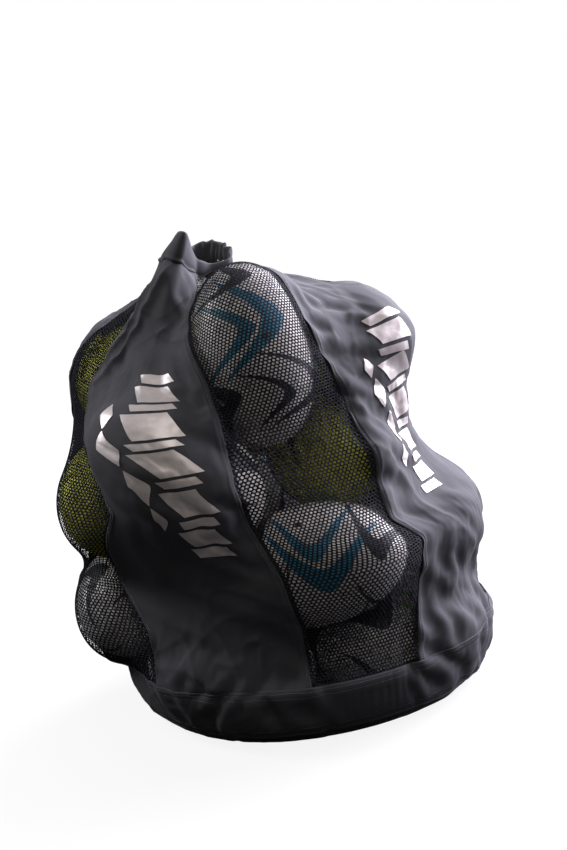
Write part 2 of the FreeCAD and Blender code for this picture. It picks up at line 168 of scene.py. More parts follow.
class BagColours(bpy.types.PropertyGroup):
    """Colours of the bag and the balls."""
    nylon: bpy.props.FloatVectorProperty(
        name="Coated cloth", description="Colour of the coated cloth", default=(0.0050, 0.0058, 0.0090),
        subtype="COLOR")
    net: bpy.props.FloatVectorProperty(
        name="Net", description="Colour of the net", default=(0.0040, 0.0042, 0.0058), subtype="COLOR")
    thread: bpy.props.FloatVectorProperty(
        name="Thread", description="Colour of the stitching", default=(0.10, 0.10, 0.115), subtype="COLOR")
    silver: bpy.props.FloatVectorProperty(
        name="Print", description="Colour of the printed bars", default=(0.46, 0.415, 0.40), subtype="COLOR")
    white: bpy.props.FloatVectorProperty(
        name="Ball white", description="Ground colour of the white balls", default=(0.80, 0.77, 0.73),
        subtype="COLOR")
    yellow: bpy.props.FloatVectorProperty(
        name="Ball yellow", description="Ground colour of the yellow balls", default=(0.52, 0.55, 0.03),
        subtype="COLOR")
    teal: bpy.props.FloatVectorProperty(
        name="Ball teal", description="Colour of the teal stripes", default=(0.018, 0.23, 0.37),
        subtype="COLOR")
    black: bpy.props.FloatVectorProperty(
        name="Ball black", description="Colour of the black stripes", default=(0.010, 0.012, 0.018),
        subtype="COLOR")
    green: bpy.props.FloatVectorProperty(
        name="Ball green", description="Colour of the green stripes", default=(0.15, 0.37, 0.012),
        subtype="COLOR")
    orange: bpy.props.FloatVectorProperty(
        name="Ball orange", description="Colour of the orange stripes", default=(0.55, 0.075, 0.014),
        subtype="COLOR")
    red: bpy.props.FloatVectorProperty(
        name="Ball dark red", description="Colour of the dark red stripes", default=(0.10, 0.010, 0.014),
        subtype="COLOR")


def sizes():
    return bpy.context.scene.ball_bag_sizes


def colours():
    return bpy.context.scene.ball_bag_colours


# ---- The drape -----------------------------------------------------------------------------------
def along(pairs, place):
    """Values beside places in pairs of place and value, on straight lines."""
    table = np.array(pairs, float)
    return np.interp(place, table[:, 0], table[:, 1])


def unit(v):
    return v / np.maximum(np.linalg.norm(v, axis=-1, keepdims=True), 1e-12)


def soft_noise(shape, reach, seed, turn=0.0):
    """Smooth random field of unit spread; reach is its blur in rows and columns, turned by an angle."""
    noise = np.random.default_rng(seed).standard_normal(shape)
    fy, fx = np.meshgrid(np.fft.fftfreq(shape[0]), np.fft.fftfreq(shape[1]), indexing="ij")
    c, s = math.cos(turn), math.sin(turn)
    gy, gx = c * fy + s * fx, c * fx - s * fy
    keep = np.exp(-2 * np.pi ** 2 * ((gy * reach[0]) ** 2 + (gx * reach[1]) ** 2))
    field = np.fft.ifft2(np.fft.fft2(noise) * keep).real
    field -= field.mean()
    return field / field.std()


def ball_places():
    """Middles and long axes of the balls, in millimetres, from the frame's joints."""
    middles = np.array([joint["pos_m"] for joint in frame["joints"]], float) / MM
    axes = unit(np.array([joint["axis"] for joint in frame["joints"]], float))
    return middles, axes


def panel_counts():
    """Number of coarse columns in each panel."""
    counts = []
    for _, left, right in PANELS:
        width = (SEAMS[right][0][1] - SEAMS[left][0][1]) % 360
        counts.append(math.ceil(width / 5))
    return counts


def panel_span(name):
    """First and last fine column of a panel."""
    counts = panel_counts()
    place = [panel[0] for panel in PANELS].index(name)
    start = sum(counts[:place]) * CELL
    return start, start + counts[place] * CELL


def column_angles(heights, step):
    """Angle in degrees of each column, for each row's seam height."""
    lines = []
    for height in heights:
        line = []
        for (_, left, right), count in zip(PANELS, panel_counts()):
            start = along(SEAMS[left], height)
            width = (along(SEAMS[right], height) - start) % 360
            line.append(start + width * np.arange(0, count * CELL, step) / (count * CELL))
        lines.append(np.concatenate(line))
    return np.array(lines)


def side_rows(step):
    """Middle, tilt and seam height of every side row, from the band's top to the mouth."""
    place = np.arange(0, SIDE_ROWS + FAN_ROWS + 1, step, dtype=float)
    fan = np.clip((place - SIDE_ROWS) / FAN_ROWS, 0, 1)
    height = np.where(fan > 0, FAN_START + (FAN_END - FAN_START) * fan,
                      BAND_TOP + (FAN_START - BAND_TOP) * place / SIDE_ROWS)
    spine = np.array(SPINE, float)
    middle = np.stack([np.interp(height, spine[:, 0], spine[:, 1]),
                       np.interp(height, spine[:, 0], spine[:, 2]), height], -1)
    return middle, np.radians(FAN_LIFT) * fan, height + FAN_LIFT * fan


def last_exit(middle, rays, keep):
    """How far each ray runs before it leaves the last ball, grown by keep."""
    length, radius = BALL_LENGTH / 2 + keep, BALL_DIAMETER / 2 + keep
    round_term, far = 1 / radius ** 2, np.zeros(rays.shape[:-1])
    long_term = 1 / length ** 2 - round_term
    for ball, axis in zip(*ball_places()):
        offset = middle - ball
        offset_axis, ray_axis = offset @ axis, rays @ axis
        a = round_term + long_term * ray_axis ** 2
        b = (offset * rays).sum(-1) * round_term + long_term * offset_axis * ray_axis
        c = (offset ** 2).sum(-1) * round_term + long_term * offset_axis ** 2 - 1
        under = b * b - a * c
        far = np.maximum(far, np.where(under > 0, (np.sqrt(np.maximum(under, 0)) - b) / a, 0))
    return far


def mouth_ring(angles):
    """Seam and rim of the mouth's hem at angles in degrees."""
    table = np.array(MOUTH, float)
    once = np.array([360] + [0] * 6)
    table = np.concatenate([table[-3:] - once, table, table[:3] + once])
    turn = (angles - table[3, 0]) % 360 + table[3, 0]
    ring = np.stack([np.interp(turn, table[:, 0], table[:, i]) for i in range(1, 7)], -1)
    for _ in range(6):
        ring = 0.5 * ring + 0.25 * (np.roll(ring, 1, 0) + np.roll(ring, -1, 0))
    return ring[:, :3], ring[:, 3:]


def taut_sides():
    """The middle of the frame's cloth panels, found with rays from outside, warped to the mouth."""
    middle, tilt, height = side_rows(1)
    angles = column_angles(height, 1)
    flat = np.radians(angles - 90)
    rays = np.stack([np.cos(tilt)[:, None] * np.cos(flat), np.cos(tilt)[:, None] * np.sin(flat),
                     np.sin(tilt)[:, None] * np.ones_like(flat)], -1)
    corners, triangles, count = [], [], 0
    for name, _, _ in PANELS:
        mesh = frame["nodes"][name].data
        co = np.empty(len(mesh.vertices) * 3)
        mesh.vertices.foreach_get("co", co)
        mesh.calc_loop_triangles()
        part = np.empty(len(mesh.loop_triangles) * 3, int)
        mesh.loop_triangles.foreach_get("vertices", part)
        corners.append(co.reshape(-1, 3) / MM)
        triangles.append(part.reshape(-1, 3) + count)
        count += len(mesh.vertices)
    tree = BVHTree.FromPolygons(np.concatenate(corners).tolist(), np.concatenate(triangles).tolist())
    reach = np.full(angles.shape, np.nan)
    far = 700.0
    for j in range(1, len(middle) - 3):
        for k in range(angles.shape[1]):
            ray = Vector(rays[j, k])
            hit = tree.ray_cast(Vector(middle[j]) + ray * far, -ray)
            if hit[0] is not None:
                reach[j, k] = far - hit[3] - CLOTH_INSET
    turns = np.arange(angles.shape[1])
    for j in range(1, len(middle) - 3):
        good = ~np.isnan(reach[j])
        reach[j] = np.interp(turns, turns[good], reach[j][good], period=angles.shape[1])
    edge = last_exit(middle[0] * np.ones_like(rays[0]), rays[0], BALL_KEEP + 2.9)
    reach[0] = np.maximum(283.5, edge)
    grid = middle[:, None, :] + rays * reach[..., None]
    turn = np.radians(angles[-1] - 90)
    x, y, z, radius = NECK
    neck = np.stack([x + radius * np.cos(turn), y + radius * np.sin(turn), z + 0 * turn], -1)
    for i, share in ((-3, 1 / 3), (-2, 2 / 3), (-1, 1.0)):
        grid[i] = grid[-4] * (1 - share) + neck * share
    rise = np.clip((np.arange(len(grid)) - (len(grid) - 46)) / 45, 0, 1)
    rise = rise * rise * (3 - 2 * rise)
    grid = grid + (mouth_ring(angles[-1] % 360)[0] - neck)[None] * rise[:, None, None]
    for _ in range(60):
        clear_of_balls(grid, BALL_KEEP + 1)
        soft = (np.roll(grid, 1, 1) + np.roll(grid, -1, 1))[-50:-1] + grid[-51:-2] + grid[-49:]
        grid[-50:-1] += 0.4 * (soft / 4 - grid[-50:-1])
    return grid


def band_rows():
    """The base band's rows under the first side row, from the floor up."""
    height = np.concatenate([[0, 1.5, 4, 8, 13], np.linspace(19, 86, BAND_ROWS - 5)])
    flat = np.radians(column_angles([BAND_TOP], 1)[0] - 90)
    rays = np.stack([np.cos(flat), np.sin(flat), 0 * flat], -1)
    rows = []
    for z in height:
        middle = np.array([0, 0, z])[None, :] * np.ones_like(rays)
        radius = np.maximum(along(BASE_PROFILE, z), last_exit(middle, rays, BALL_KEEP + 1.2))
        rows.append(middle + rays * radius[:, None])
    return np.array(rows)


def normals_of(grid):
    """Outward unit normals of a grid whose columns close on themselves."""
    across = np.roll(grid, -1, 1) - np.roll(grid, 1, 1)
    up = np.gradient(grid, axis=0)
    return unit(np.cross(across, up))


def pull_pairs(points, free, rest, step, firm, slack_firm):
    """One pass that brings neighbours a step apart to their rest length, in two halves."""
    rows, columns = step
    for parity in (0, 1):
        if rows:
            pick = (np.arange(len(points) - rows) // rows) % 2 == parity
            i = np.nonzero(pick)[0]
            first, second = points[i], np.roll(points, -columns, 1)[i + rows]
            wa, wb, goal = free[i], np.roll(free, -columns, 1)[i + rows], rest[i]
        else:
            j = np.nonzero((np.arange(points.shape[1]) // columns) % 2 == parity)[0]
            k = (j + columns) % points.shape[1]
            first, second, wa, wb, goal = points[:, j], points[:, k], free[:, j], free[:, k], rest[:, j]
        gap = second - first
        length = np.linalg.norm(gap, axis=-1)
        short = (length - goal) / np.maximum(length, 1e-9)
        short *= np.where(short > 0, firm, slack_firm) / np.maximum(wa + wb, 1e-9)
        if rows:
            points[i] = first + gap * (short * wa)[..., None]
            moved = np.roll(points[i + rows], -columns, 1) - gap * (short * wb)[..., None]
            points[i + rows] = np.roll(moved, columns, 1)
        else:
            points[:, j] = first + gap * (short * wa)[..., None]
            points[:, k] = points[:, k] - gap * (short * wb)[..., None]


def rest_length(grid, step):
    far = np.roll(grid, -step[1], 1)
    if step[0]:
        return np.linalg.norm(far[step[0]:] - grid[:-step[0]], axis=-1)
    return np.linalg.norm(far - grid, axis=-1)


def clear_of_balls(points, keep):
    """Moves points out of the balls grown by keep."""
    a, b = BALL_LENGTH / 2 + keep, BALL_DIAMETER / 2 + keep
    for ball, axis in zip(*ball_places()):
        offset = points - ball
        near = (offset ** 2).sum(-1) < a * a
        w = offset[near]
        x = w @ axis
        across = w - x[:, None] * axis
        r = np.linalg.norm(across, axis=-1)
        f = (x / a) ** 2 + (r / b) ** 2
        slope = x[:, None] * axis / a ** 2 + across / b ** 2
        steep = np.linalg.norm(slope, axis=-1)
        push = np.where(f < 1, (1 - f) / np.maximum(2 * steep, 1e-9), 0)
        push = np.minimum(push, 6)
        points[near] += slope / np.maximum(steep, 1e-9)[:, None] * push[:, None]


def nylon_share(columns):
    """1 on columns of coated cloth, 0 on net, smoothed at the seams."""
    share = np.zeros(columns)
    for name in NYLONS:
        start, end = panel_span(name)
        share[np.arange(start, end + 1) % columns] = 1
    return (share + np.roll(share, 1) + np.roll(share, -1)) / 3


def gathers(grid, normals):
    """Folds that run down from the mouth and die out over the balls."""
    rows, columns = grid.shape[:2]
    turn = np.linspace(0, 2 * np.pi, columns, endpoint=False)
    wander = soft_noise((rows, columns), (30, 9), 5)
    down = np.arange(rows - 1, -1, -1)[:, None]
    phase = 15 * turn[None, :] + 1.3 * wander
    strength = 4.6 * np.exp(-down / 13.0) * (0.7 + 0.3 * soft_noise((rows, columns), (40, 14), 6))
    return grid + normals * (strength * np.cos(phase))[..., None]


def settle(grid):
    """Lets the cloth find its folds: longer than its taut shape, over the balls and under its weight."""
    rows, columns = grid.shape[:2]
    normals = normals_of(grid)
    coated = nylon_share(columns)[None, :]
    spare = sizes().slack * (0.25 + 0.75 * coated)
    patches = np.clip(1 + 0.7 * soft_noise((rows, columns), (7, 9), 11), 0.1, 2.6)
    near_band = np.exp(-((np.arange(rows) - BAND_ROWS) / 9.0) ** 2)[:, None]
    spare = spare * patches * (1 + 0.9 * near_band)
    steps = (((0, 1), 0.9, 0.35), ((1, 0), 0.9, 0.35), ((1, 1), 0.5, 0.12), ((1, -1), 0.5, 0.12),
             ((0, 3), 0.2, 0.10), ((3, 0), 0.2, 0.10))
    rests = []
    for step, _, _ in steps:
        rest = rest_length(grid, step)
        rests.append(rest * (1 + spare[:rest.shape[0]] * (0.8 if step[0] else 1.0)))
    creases = (soft_noise((rows, columns), (2.2, 6.5), 21, 0.5)
               + soft_noise((rows, columns), (6.0, 2.4), 22, -0.25)
               + 0.7 * soft_noise((rows, columns), (3.0, 3.0), 23))
    points = gathers(grid, normals) + normals * (creases * coated * 0.9)[..., None]
    points[0:2], points[-1] = grid[0:2], grid[-1] + (gathers(grid, normals) - grid)[-1]
    taut = grid.copy()
    free = np.ones((rows, columns))
    free[0:2] = free[-1] = 0
    out_most = np.interp(np.arange(rows), (0, rows - 30, rows - 1), (6.0, 6.0, 12.0))[:, None]
    in_most = np.interp(np.arange(rows), (0, rows - 30, rows - 1), (9.0, 12.0, 12.0))[:, None]
    for turn in range(220):
        points[..., 2] -= 0.02 * free
        for (step, firm, slack_firm), rest in zip(steps, rests):
            pull_pairs(points, free, rest, step, firm, slack_firm)
        clear_of_balls(points, BALL_KEEP)
        if turn % 4 == 3:
            off = ((points - taut) * normals).sum(-1)
            points += normals * (np.clip(off, -in_most, out_most) - off)[..., None]
            points[..., 2] = np.maximum(points[..., 2], 0)
    for _ in range(2):
        soft = (np.roll(points, 1, 1) + np.roll(points, -1, 1))[1:-1] + points[:-2] + points[2:]
        points[1:-1] += 0.35 * (soft / 4 - points[1:-1]) * free[1:-1, :, None]
    clear_of_balls(points, BALL_KEEP)
    return points


_cloth = {}


def cloth():
    """The draped cloth as one grid of points with its normals, in metres."""
    if not _cloth:
        grid = settle(np.concatenate([band_rows(), taut_sides()]))
        _cloth["points"] = grid * MM
        _cloth["normals"] = normals_of(grid)
    return _cloth


def weights(t):
    """Catmull-Rom weights of the four neighbours of a share between two of them."""
    return (0.5 * (-t + 2 * t ** 2 - t ** 3), 0.5 * (2 - 5 * t ** 2 + 3 * t ** 3),
            0.5 * (t + 4 * t ** 2 - 3 * t ** 3), 0.5 * (t ** 3 - t ** 2))


def sample(grid, rows, columns):
    """Smooth values of a grid at shares of rows and columns; columns wrap round."""
    rows = np.clip(rows, 0, len(grid) - 1.0001)
    j, k = np.floor(rows).astype(int), np.floor(columns).astype(int)
    total = 0
    for dj, wj in zip((-1, 0, 1, 2), weights(rows - j)):
        line = np.clip(j + dj, 0, len(grid) - 1)
        for dk, wk in zip((-1, 0, 1, 2), weights(columns - k)):
            total = total + grid[line, (k + dk) % grid.shape[1]] * (wj * wk)[..., None]
    return total


def crease_fields():
    """Smooth fields whose zero lines are the creases, then where they lie and how far from any seam."""
    if "creases" not in _cloth:
        shape = cloth()["points"].shape[:2]
        fields = [soft_noise(shape, reach, 70 + i, turn) for i, (reach, turn, _, _) in enumerate(CREASES)]
        patches = 0.75 + 0.55 * soft_noise(shape, (9, 11), 80)
        inside = np.zeros(shape)
        for name in NYLONS:
            start, end = panel_span(name)
            line = np.arange(start, end + 1)
            inside[:, line % shape[1]] = np.clip(np.minimum(line - start, end - line) / 2.5, 0, 1)
        inside[:BAND_ROWS] = 1
        place = np.arange(shape[0])
        rim = np.clip(place / 8, 0, 1) * np.clip((shape[0] - 1 - place) / 16, 0, 1)
        rim *= 1 - 0.8 * np.exp(-((place - BAND_ROWS) / 1.2) ** 2)
        _cloth["creases"] = np.stack([*fields, patches, inside * rim[:, None]], -1)
    return _cloth["creases"]


def crease_height(rows, columns):
    """How far the creased cloth stands out, in metres."""
    *fields, patches, inside = np.moveaxis(sample(crease_fields(), rows, columns), -1, 0)
    height = sum(tall * np.exp(-abs(field) / sharp) for field, (_, _, tall, sharp) in zip(fields, CREASES))
    height = height * np.clip(patches, 0, 1.7) * np.clip(inside, 0, 1)
    for crest, tall, reach in FOLDS:
        line = np.array(crest, float)
        away = abs(columns - np.interp(rows, line[:, 0], line[:, 1])) * COLUMN_WIDTH
        ends = np.clip(np.minimum(rows - line[0, 0], line[-1, 0] - rows) / 6, 0, 1)
        height = height + tall * ends * np.exp(-np.sqrt(away ** 2 + 1) / reach)
    return height * MM


def on_cloth(rows, columns, offset=0.0):
    """Points on the draped cloth, moved out along its normals by an offset in metres."""
    rows, columns = np.broadcast_arrays(np.asarray(rows, float), np.asarray(columns, float))
    normal = unit(sample(cloth()["normals"], rows, columns))
    height = crease_height(rows, columns) + offset
    return sample(cloth()["points"], rows, columns) + normal * height[..., None]


# ---- Mesh helpers --------------------------------------------------------------------------------
def add_piece(name, points, faces, material, body, replaced=(), slot=None, uv=None, smooth=True):
    """Makes a mesh object that rides on a body of the frame."""
    mesh = bpy.data.meshes.new(name)
    points = np.asarray(points, float).reshape(-1, 3).tolist()
    mesh.from_pydata(points, [], [list(map(int, face)) for face in faces])
    if uv is not None:
        layer = mesh.uv_layers.new(name="UVMap")
        layer.data.foreach_set("uv", np.asarray(uv, np.float32).ravel())
    mesh.polygons.foreach_set("use_smooth", [smooth] * len(mesh.polygons))
    mesh.materials.append(material)
    mesh.update()
    piece = bpy.data.objects.new(name, mesh)
    bpy.context.scene.collection.objects.link(piece)
    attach(piece, body)
    if replaced:
        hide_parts(*replaced)
    return piece


def grid_faces(rows, columns, closed=False, start=0, flip=False):
    """Quads of a grid of points in row order."""
    last = columns if closed else columns - 1
    j, k = np.meshgrid(np.arange(rows - 1), np.arange(last), indexing="ij")
    a = start + j * columns + k
    b = start + j * columns + (k + 1) % columns
    quads = np.stack([a, b, b + columns, a + columns], -1).reshape(-1, 4)
    return quads[:, ::-1] if flip else quads


def slab(outer, inner, closed=False):
    """Points and quads of a thin closed sheet between two grids of the same size."""
    rows, columns = outer.shape[:2]
    count = rows * columns
    faces = [grid_faces(rows, columns, closed), grid_faces(rows, columns, closed, count, True)]
    k = np.arange(columns if closed else columns - 1)
    n = (k + 1) % columns
    last = (rows - 1) * columns
    faces.append(np.stack([k, k + count, n + count, n], -1))
    faces.append(np.stack([last + k, last + n, last + n + count, last + k + count], -1))
    if not closed:
        j = np.arange(rows - 1) * columns
        faces.append(np.stack([j, j + columns, j + columns + count, j + count], -1))
        e = j + columns - 1
        faces.append(np.stack([e, e + count, e + columns + count, e + columns], -1))
    return np.concatenate([outer.reshape(-1, 3), inner.reshape(-1, 3)]), np.concatenate(faces)


def tube(section_rings):
    """Closed sweep of closed sections: an array of rings by section points."""
    rings, around = section_rings.shape[:2]
    j, k = np.meshgrid(np.arange(rings), np.arange(around), indexing="ij")
    a, b = j * around + k, ((j + 1) % rings) * around + k
    c, d = ((j + 1) % rings) * around + (k + 1) % around, j * around + (k + 1) % around
    return section_rings.reshape(-1, 3), np.stack([a, b, c, d], -1).reshape(-1, 4)


# ---- Materials -----------------------------------------------------------------------------------
def new_material(name, colour, roughness, metallic=0.0):
    """A Principled material, its nodes and its shader."""
    material = bpy.data.materials.new(name)
    material.use_nodes = True
    nodes = material.node_tree.nodes
    shader = nodes["Principled BSDF"]
    shader.inputs["Base Color"].default_value = (*colour, 1)
    shader.inputs["Roughness"].default_value = roughness
    shader.inputs["Metallic"].default_value = metallic
    return material, nodes, shader


def link(material, out, into):
    material.node_tree.links.new(out, into)


def math_node(material, operation, *values):
    """A Math node; each value is a socket or a number."""
    node = material.node_tree.nodes.new("ShaderNodeMath")
    node.operation = operation
    for place, value in enumerate(values):
        if isinstance(value, (int, float)):
            node.inputs[place].default_value = value
        else:
            link(material, value, node.inputs[place])
    return node.outputs[0]


def noise_node(material, scale, detail=3.0, source=None, rough=0.5, distortion=0.0):
    nodes = material.node_tree.nodes
    node = nodes.new("ShaderNodeTexNoise")
    node.inputs["Scale"].default_value = scale
    node.inputs["Detail"].default_value = detail
    node.inputs["Roughness"].default_value = rough
    node.inputs["Distortion"].default_value = distortion
    if source is None:
        source = coords(material)
    link(material, source, node.inputs["Vector"])
    return node.outputs["Fac"]


def coords(material, kind="Object"):
    nodes = material.node_tree.nodes
    found = nodes.get("Coordinates") or nodes.new("ShaderNodeTexCoord")
    found.name = "Coordinates"
    return found.outputs[kind]


def ramp(material, source, low, high, dark, light):
    """Maps a value between two limits onto two numbers."""
    node = material.node_tree.nodes.new("ShaderNodeMapRange")
    node.inputs["From Min"].default_value = low
    node.inputs["From Max"].default_value = high
    node.inputs["To Min"].default_value = dark
    node.inputs["To Max"].default_value = light
    link(material, source, node.inputs["Value"])
    return node.outputs["Result"]


def blend_colour(material, share, first, second):
    """Mix of two colours, each a socket or three numbers."""
    node = material.node_tree.nodes.new("ShaderNodeMix")
    node.data_type = "RGBA"
    link(material, share, node.inputs["Factor"])
    for place, value in ((6, first), (7, second)):
        if isinstance(value, (tuple, list)) or hasattr(value, "__len__"):
            node.inputs[place].default_value = (*value, 1)
        else:
            link(material, value, node.inputs[place])
    return node.outputs[2]


def add_bump(material, shader, height, distance, strength=1.0):
    """Adds a bump before any the shader has."""
    node = material.node_tree.nodes.new("ShaderNodeBump")
    node.inputs["Strength"].default_value = strength
    node.inputs["Distance"].default_value = distance
    link(material, height, node.inputs["Height"])
    before = shader.inputs["Normal"].links
    if before:
        link(material, before[0].from_socket, node.inputs["Normal"])
    link(material, node.outputs["Normal"], shader.inputs["Normal"])


def made(name, make):
    """A material made once."""
    return bpy.data.materials.get(name) or make(name)


def coated_nylon():
    def make(name):
        tone = tuple(colours().nylon)
        material, _, shader = new_material(name, tone, 0.4)
        shader.inputs["Specular IOR Level"].default_value = 0.9
        shader.inputs["Coat Weight"].default_value = 0.5
        shader.inputs["Coat Roughness"].default_value = 0.22
        dust = ramp(material, noise_node(material, 9, 5, rough=0.65), 0.45, 0.75, 0.0, 0.5)
        link(material, blend_colour(material, dust, tone, tuple(c * 1.9 + 0.002 for c in tone)),
             shader.inputs["Base Color"])
        gloss = ramp(material, noise_node(material, 30, 4), 0.3, 0.7, 0.28, 0.44)
        link(material, gloss, shader.inputs["Roughness"])
        add_bump(material, shader, noise_node(material, 34, 3, distortion=0.6), 0.0022, 0.6)
        add_bump(material, shader, noise_node(material, 95, 3, distortion=0.8), 0.0007, 0.55)
        add_bump(material, shader, noise_node(material, 1500, 1), 0.0001, 0.4)
        return material
    return made("coated_nylon", make)


def net_yarn():
    def make(name):
        tone = tuple(colours().net)
        material, _, shader = new_material(name, tone, 0.85)
        shader.inputs["Specular IOR Level"].default_value = 0.12
        fibres = noise_node(material, 1800, 2)
        link(material, blend_colour(material, fibres, tone, tuple(c * 2.2 for c in tone)),
             shader.inputs["Base Color"])
        add_bump(material, shader, fibres, 0.0002, 0.5)
        return material
    return made("net_yarn", make)


def sewing_thread():
    def make(name):
        material, _, shader = new_material(name, colours().thread, 0.5)
        add_bump(material, shader, noise_node(material, 2500, 1), 0.0001, 0.5)
        return material
    return made("sewing_thread", make)


def binding_tape():
    def make(name):
        tone = (0.016, 0.016, 0.02)
        material, _, shader = new_material(name, tone, 0.7)
        weave = noise_node(material, 900, 2)
        link(material, blend_colour(material, weave, tone, (0.03, 0.03, 0.036)), shader.inputs["Base Color"])
        add_bump(material, shader, weave, 0.0003, 0.6)
        return material
    return made("binding_tape", make)


def silver_print():
    def make(name):
        tone = tuple(colours().silver)
        material, _, shader = new_material(name, tone, 0.42, 0.35)
        wear = ramp(material, noise_node(material, 60, 6, rough=0.7), 0.35, 0.8, 0.0, 0.55)
        link(material, blend_colour(material, wear, tone, tuple(c * 0.62 for c in tone)),
             shader.inputs["Base Color"])
        add_bump(material, shader, noise_node(material, 34, 3, distortion=0.6), 0.0016, 0.5)
        add_bump(material, shader, noise_node(material, 420, 3), 0.0002, 0.4)
        return material
    return made("silver_print", make)


def stiff_sheet():
    def make(name):
        material, _, shader = new_material(name, (0.02, 0.02, 0.025), 0.6)
        add_bump(material, shader, noise_node(material, 500, 2), 0.0002, 0.5)
        return material
    return made("stiff_sheet", make)


def nickel():
    def make(name):
        material, _, shader = new_material(name, (0.45, 0.45, 0.46), 0.28, 1.0)
        gloss = ramp(material, noise_node(material, 400, 4), 0.3, 0.7, 0.2, 0.4)
        link(material, gloss, shader.inputs["Roughness"])
        return material
    return made("nickel", make)


def bladder_rubber():
    def make(name):
        material, _, shader = new_material(name, (0.03, 0.03, 0.03), 0.5)
        add_bump(material, shader, noise_node(material, 300, 2), 0.0002, 0.4)
        return material
    return made("bladder_rubber", make)


def stripe(material, repeats, phase, twist, centre, half, width):
    """Mask of tapered stripes: repeats round the ball, leaning by twist, over part of its length."""
    nodes = material.node_tree.nodes
    split = nodes.get("Split") or nodes.new("ShaderNodeSeparateXYZ")
    if not split.inputs[0].links:
        split.name = "Split"
        link(material, coords(material, "UV"), split.inputs[0])
    v = math_node(material, "DIVIDE", math_node(material, "SUBTRACT", split.outputs["Y"], centre), half)
    lean = math_node(material, "POWER", math_node(material, "ABSOLUTE", v), 1.6)
    lean = math_node(material, "MULTIPLY", lean, twist)
    turn = math_node(material, "ADD", math_node(material, "MULTIPLY", split.outputs["X"], repeats), lean)
    turn = math_node(material, "FRACT", math_node(material, "ADD", turn, phase))
    away = math_node(material, "ABSOLUTE", math_node(material, "SUBTRACT", turn, 0.5))
    taper = math_node(material, "SUBTRACT", 1.0, math_node(material, "MULTIPLY", v, v))
    edge = math_node(material, "SUBTRACT", math_node(material, "MULTIPLY", taper, width), away)
    return ramp(material, edge, -0.006, 0.006, 0.0, 1.0)


def ball_cover(name, ground, marks):
    """Pebbled rubber of one ball: a ground colour with tapered stripes."""
    def make(name):
        material, _, shader = new_material(name, ground, 0.42)
        shade = ramp(material, noise_node(material, 14, 5, rough=0.6), 0.4, 0.75, 0.0, 0.35)
        colour = blend_colour(material, shade, ground, tuple(c * 0.78 for c in ground))
        for tone, *shape in marks:
            colour = blend_colour(material, stripe(material, *shape), colour, tone)
        link(material, colour, shader.inputs["Base Color"])
        pebble = material.node_tree.nodes.new("ShaderNodeTexVoronoi")
        pebble.inputs["Scale"].default_value = 430
        link(material, coords(material), pebble.inputs["Vector"])
        add_bump(material, shader, pebble.outputs["Distance"], -0.0005, 0.5)
        return material
    return made(name, make)


# ---- Pieces of the bag ---------------------------------------------------------------------------
def panel_measure(name, low_rows=80):
    """First and last fine column of a panel, its mean width over its lower rows, and how far up each
    row lies along its middle, in metres."""
    start, end = panel_span(name)
    points = cloth()["points"]
    part = points[BAND_ROWS:, np.arange(start, end + 1) % points.shape[1]]
    width = np.linalg.norm(np.diff(part, axis=1), axis=-1).sum(1)[:low_rows].mean()
    lengths = np.linalg.norm(np.diff(part[:, part.shape[1] // 2], axis=0), axis=-1)
    return start, end, width, np.concatenate([[0], np.cumsum(lengths)])


def edge_columns(name):
    """Fine columns of a coated panel, closer together at its folded edges, with each one's distance
    in metres from the nearer edge."""
    start, end, width, _ = panel_measure(name)
    near = np.array([0, 1.2, 2.6, 3.8, 4.6, 5.0, 5.4, 6.4, 8.0, 9.4, 10.6, 13.0]) * MM
    inside = np.linspace(16 * MM, width - 16 * MM, round((width - 32 * MM) / 0.0034))
    place = np.concatenate([near, inside, width - near[::-1]])
    return start + place / width * (end - start), np.minimum(place, width - place)


def edge_offset(away, rows, seed):
    """How far the outside of a coated panel stands off the net, by distance from its edge."""
    s = sizes()
    fold = 0.0017 * (1 - 0.5 / (1 + np.exp(-(away - s.edge_fold) / 0.0005)))
    rounding = -0.0006 * np.exp(-(away / 0.0008) ** 2)
    groove = -0.0005 * np.exp(-((away - s.stitch_inset) / 0.0007) ** 2)
    line = (fold + rounding + groove)[None, :]
    pucker = soft_noise((len(rows), 64), (2.2, 8), seed)
    side = np.linspace(0, 63, len(away)).astype(int)
    return line + 0.0007 * np.clip(pucker[:, side], -1.6, 2.2) * np.exp(-(away / 0.018) ** 2)[None, :]


def fine_rows(low, high, step=0.6):
    return np.linspace(low, high, round((high - low) / step) + 1)


def coated_panel(name, seed):
    columns, away = edge_columns(name)
    top = cloth()["points"].shape[0] - 1
    rows = fine_rows(BAND_ROWS - 1.6, top)
    offset = edge_offset(away, rows, seed)
    outer = on_cloth(rows[:, None], columns[None, :], offset)
    inner = on_cloth(rows[:, None], columns[None, :], offset - sizes().cloth)
    add_piece("cloth_" + name, *slab(outer, inner), coated_nylon(), BAG, (name,), "coated_nylon")


def net_cells(across, up):
    """A net of six-sided cells in cell units: its crest points, its hole points and quads."""
    i, j = np.meshgrid(np.arange(-1, across + 1), np.arange(0, up), indexing="ij")
    middle = np.stack([i + 0.5 + 0.5 * (j % 2), j + 0.5], -1).reshape(-1, 1, 2)
    corner = np.array([(0, 2 / 3), (-0.5, 1 / 3), (-0.5, -1 / 3), (0, -2 / 3), (0.5, -1 / 3), (0.5, 1 / 3)])
    outer = middle + corner
    keys = np.round(outer * (2, 3)).astype(int).reshape(-1, 2)
    unique, where = np.unique(keys, axis=0, return_inverse=True)
    crest = unique / (2, 3)
    ring = where.reshape(-1, 6)
    holes = (middle + corner * (sizes().net_hole, sizes().net_hole * 0.98)).reshape(-1, 2)
    inner = np.arange(len(holes)).reshape(-1, 6)
    return crest, holes, ring, inner


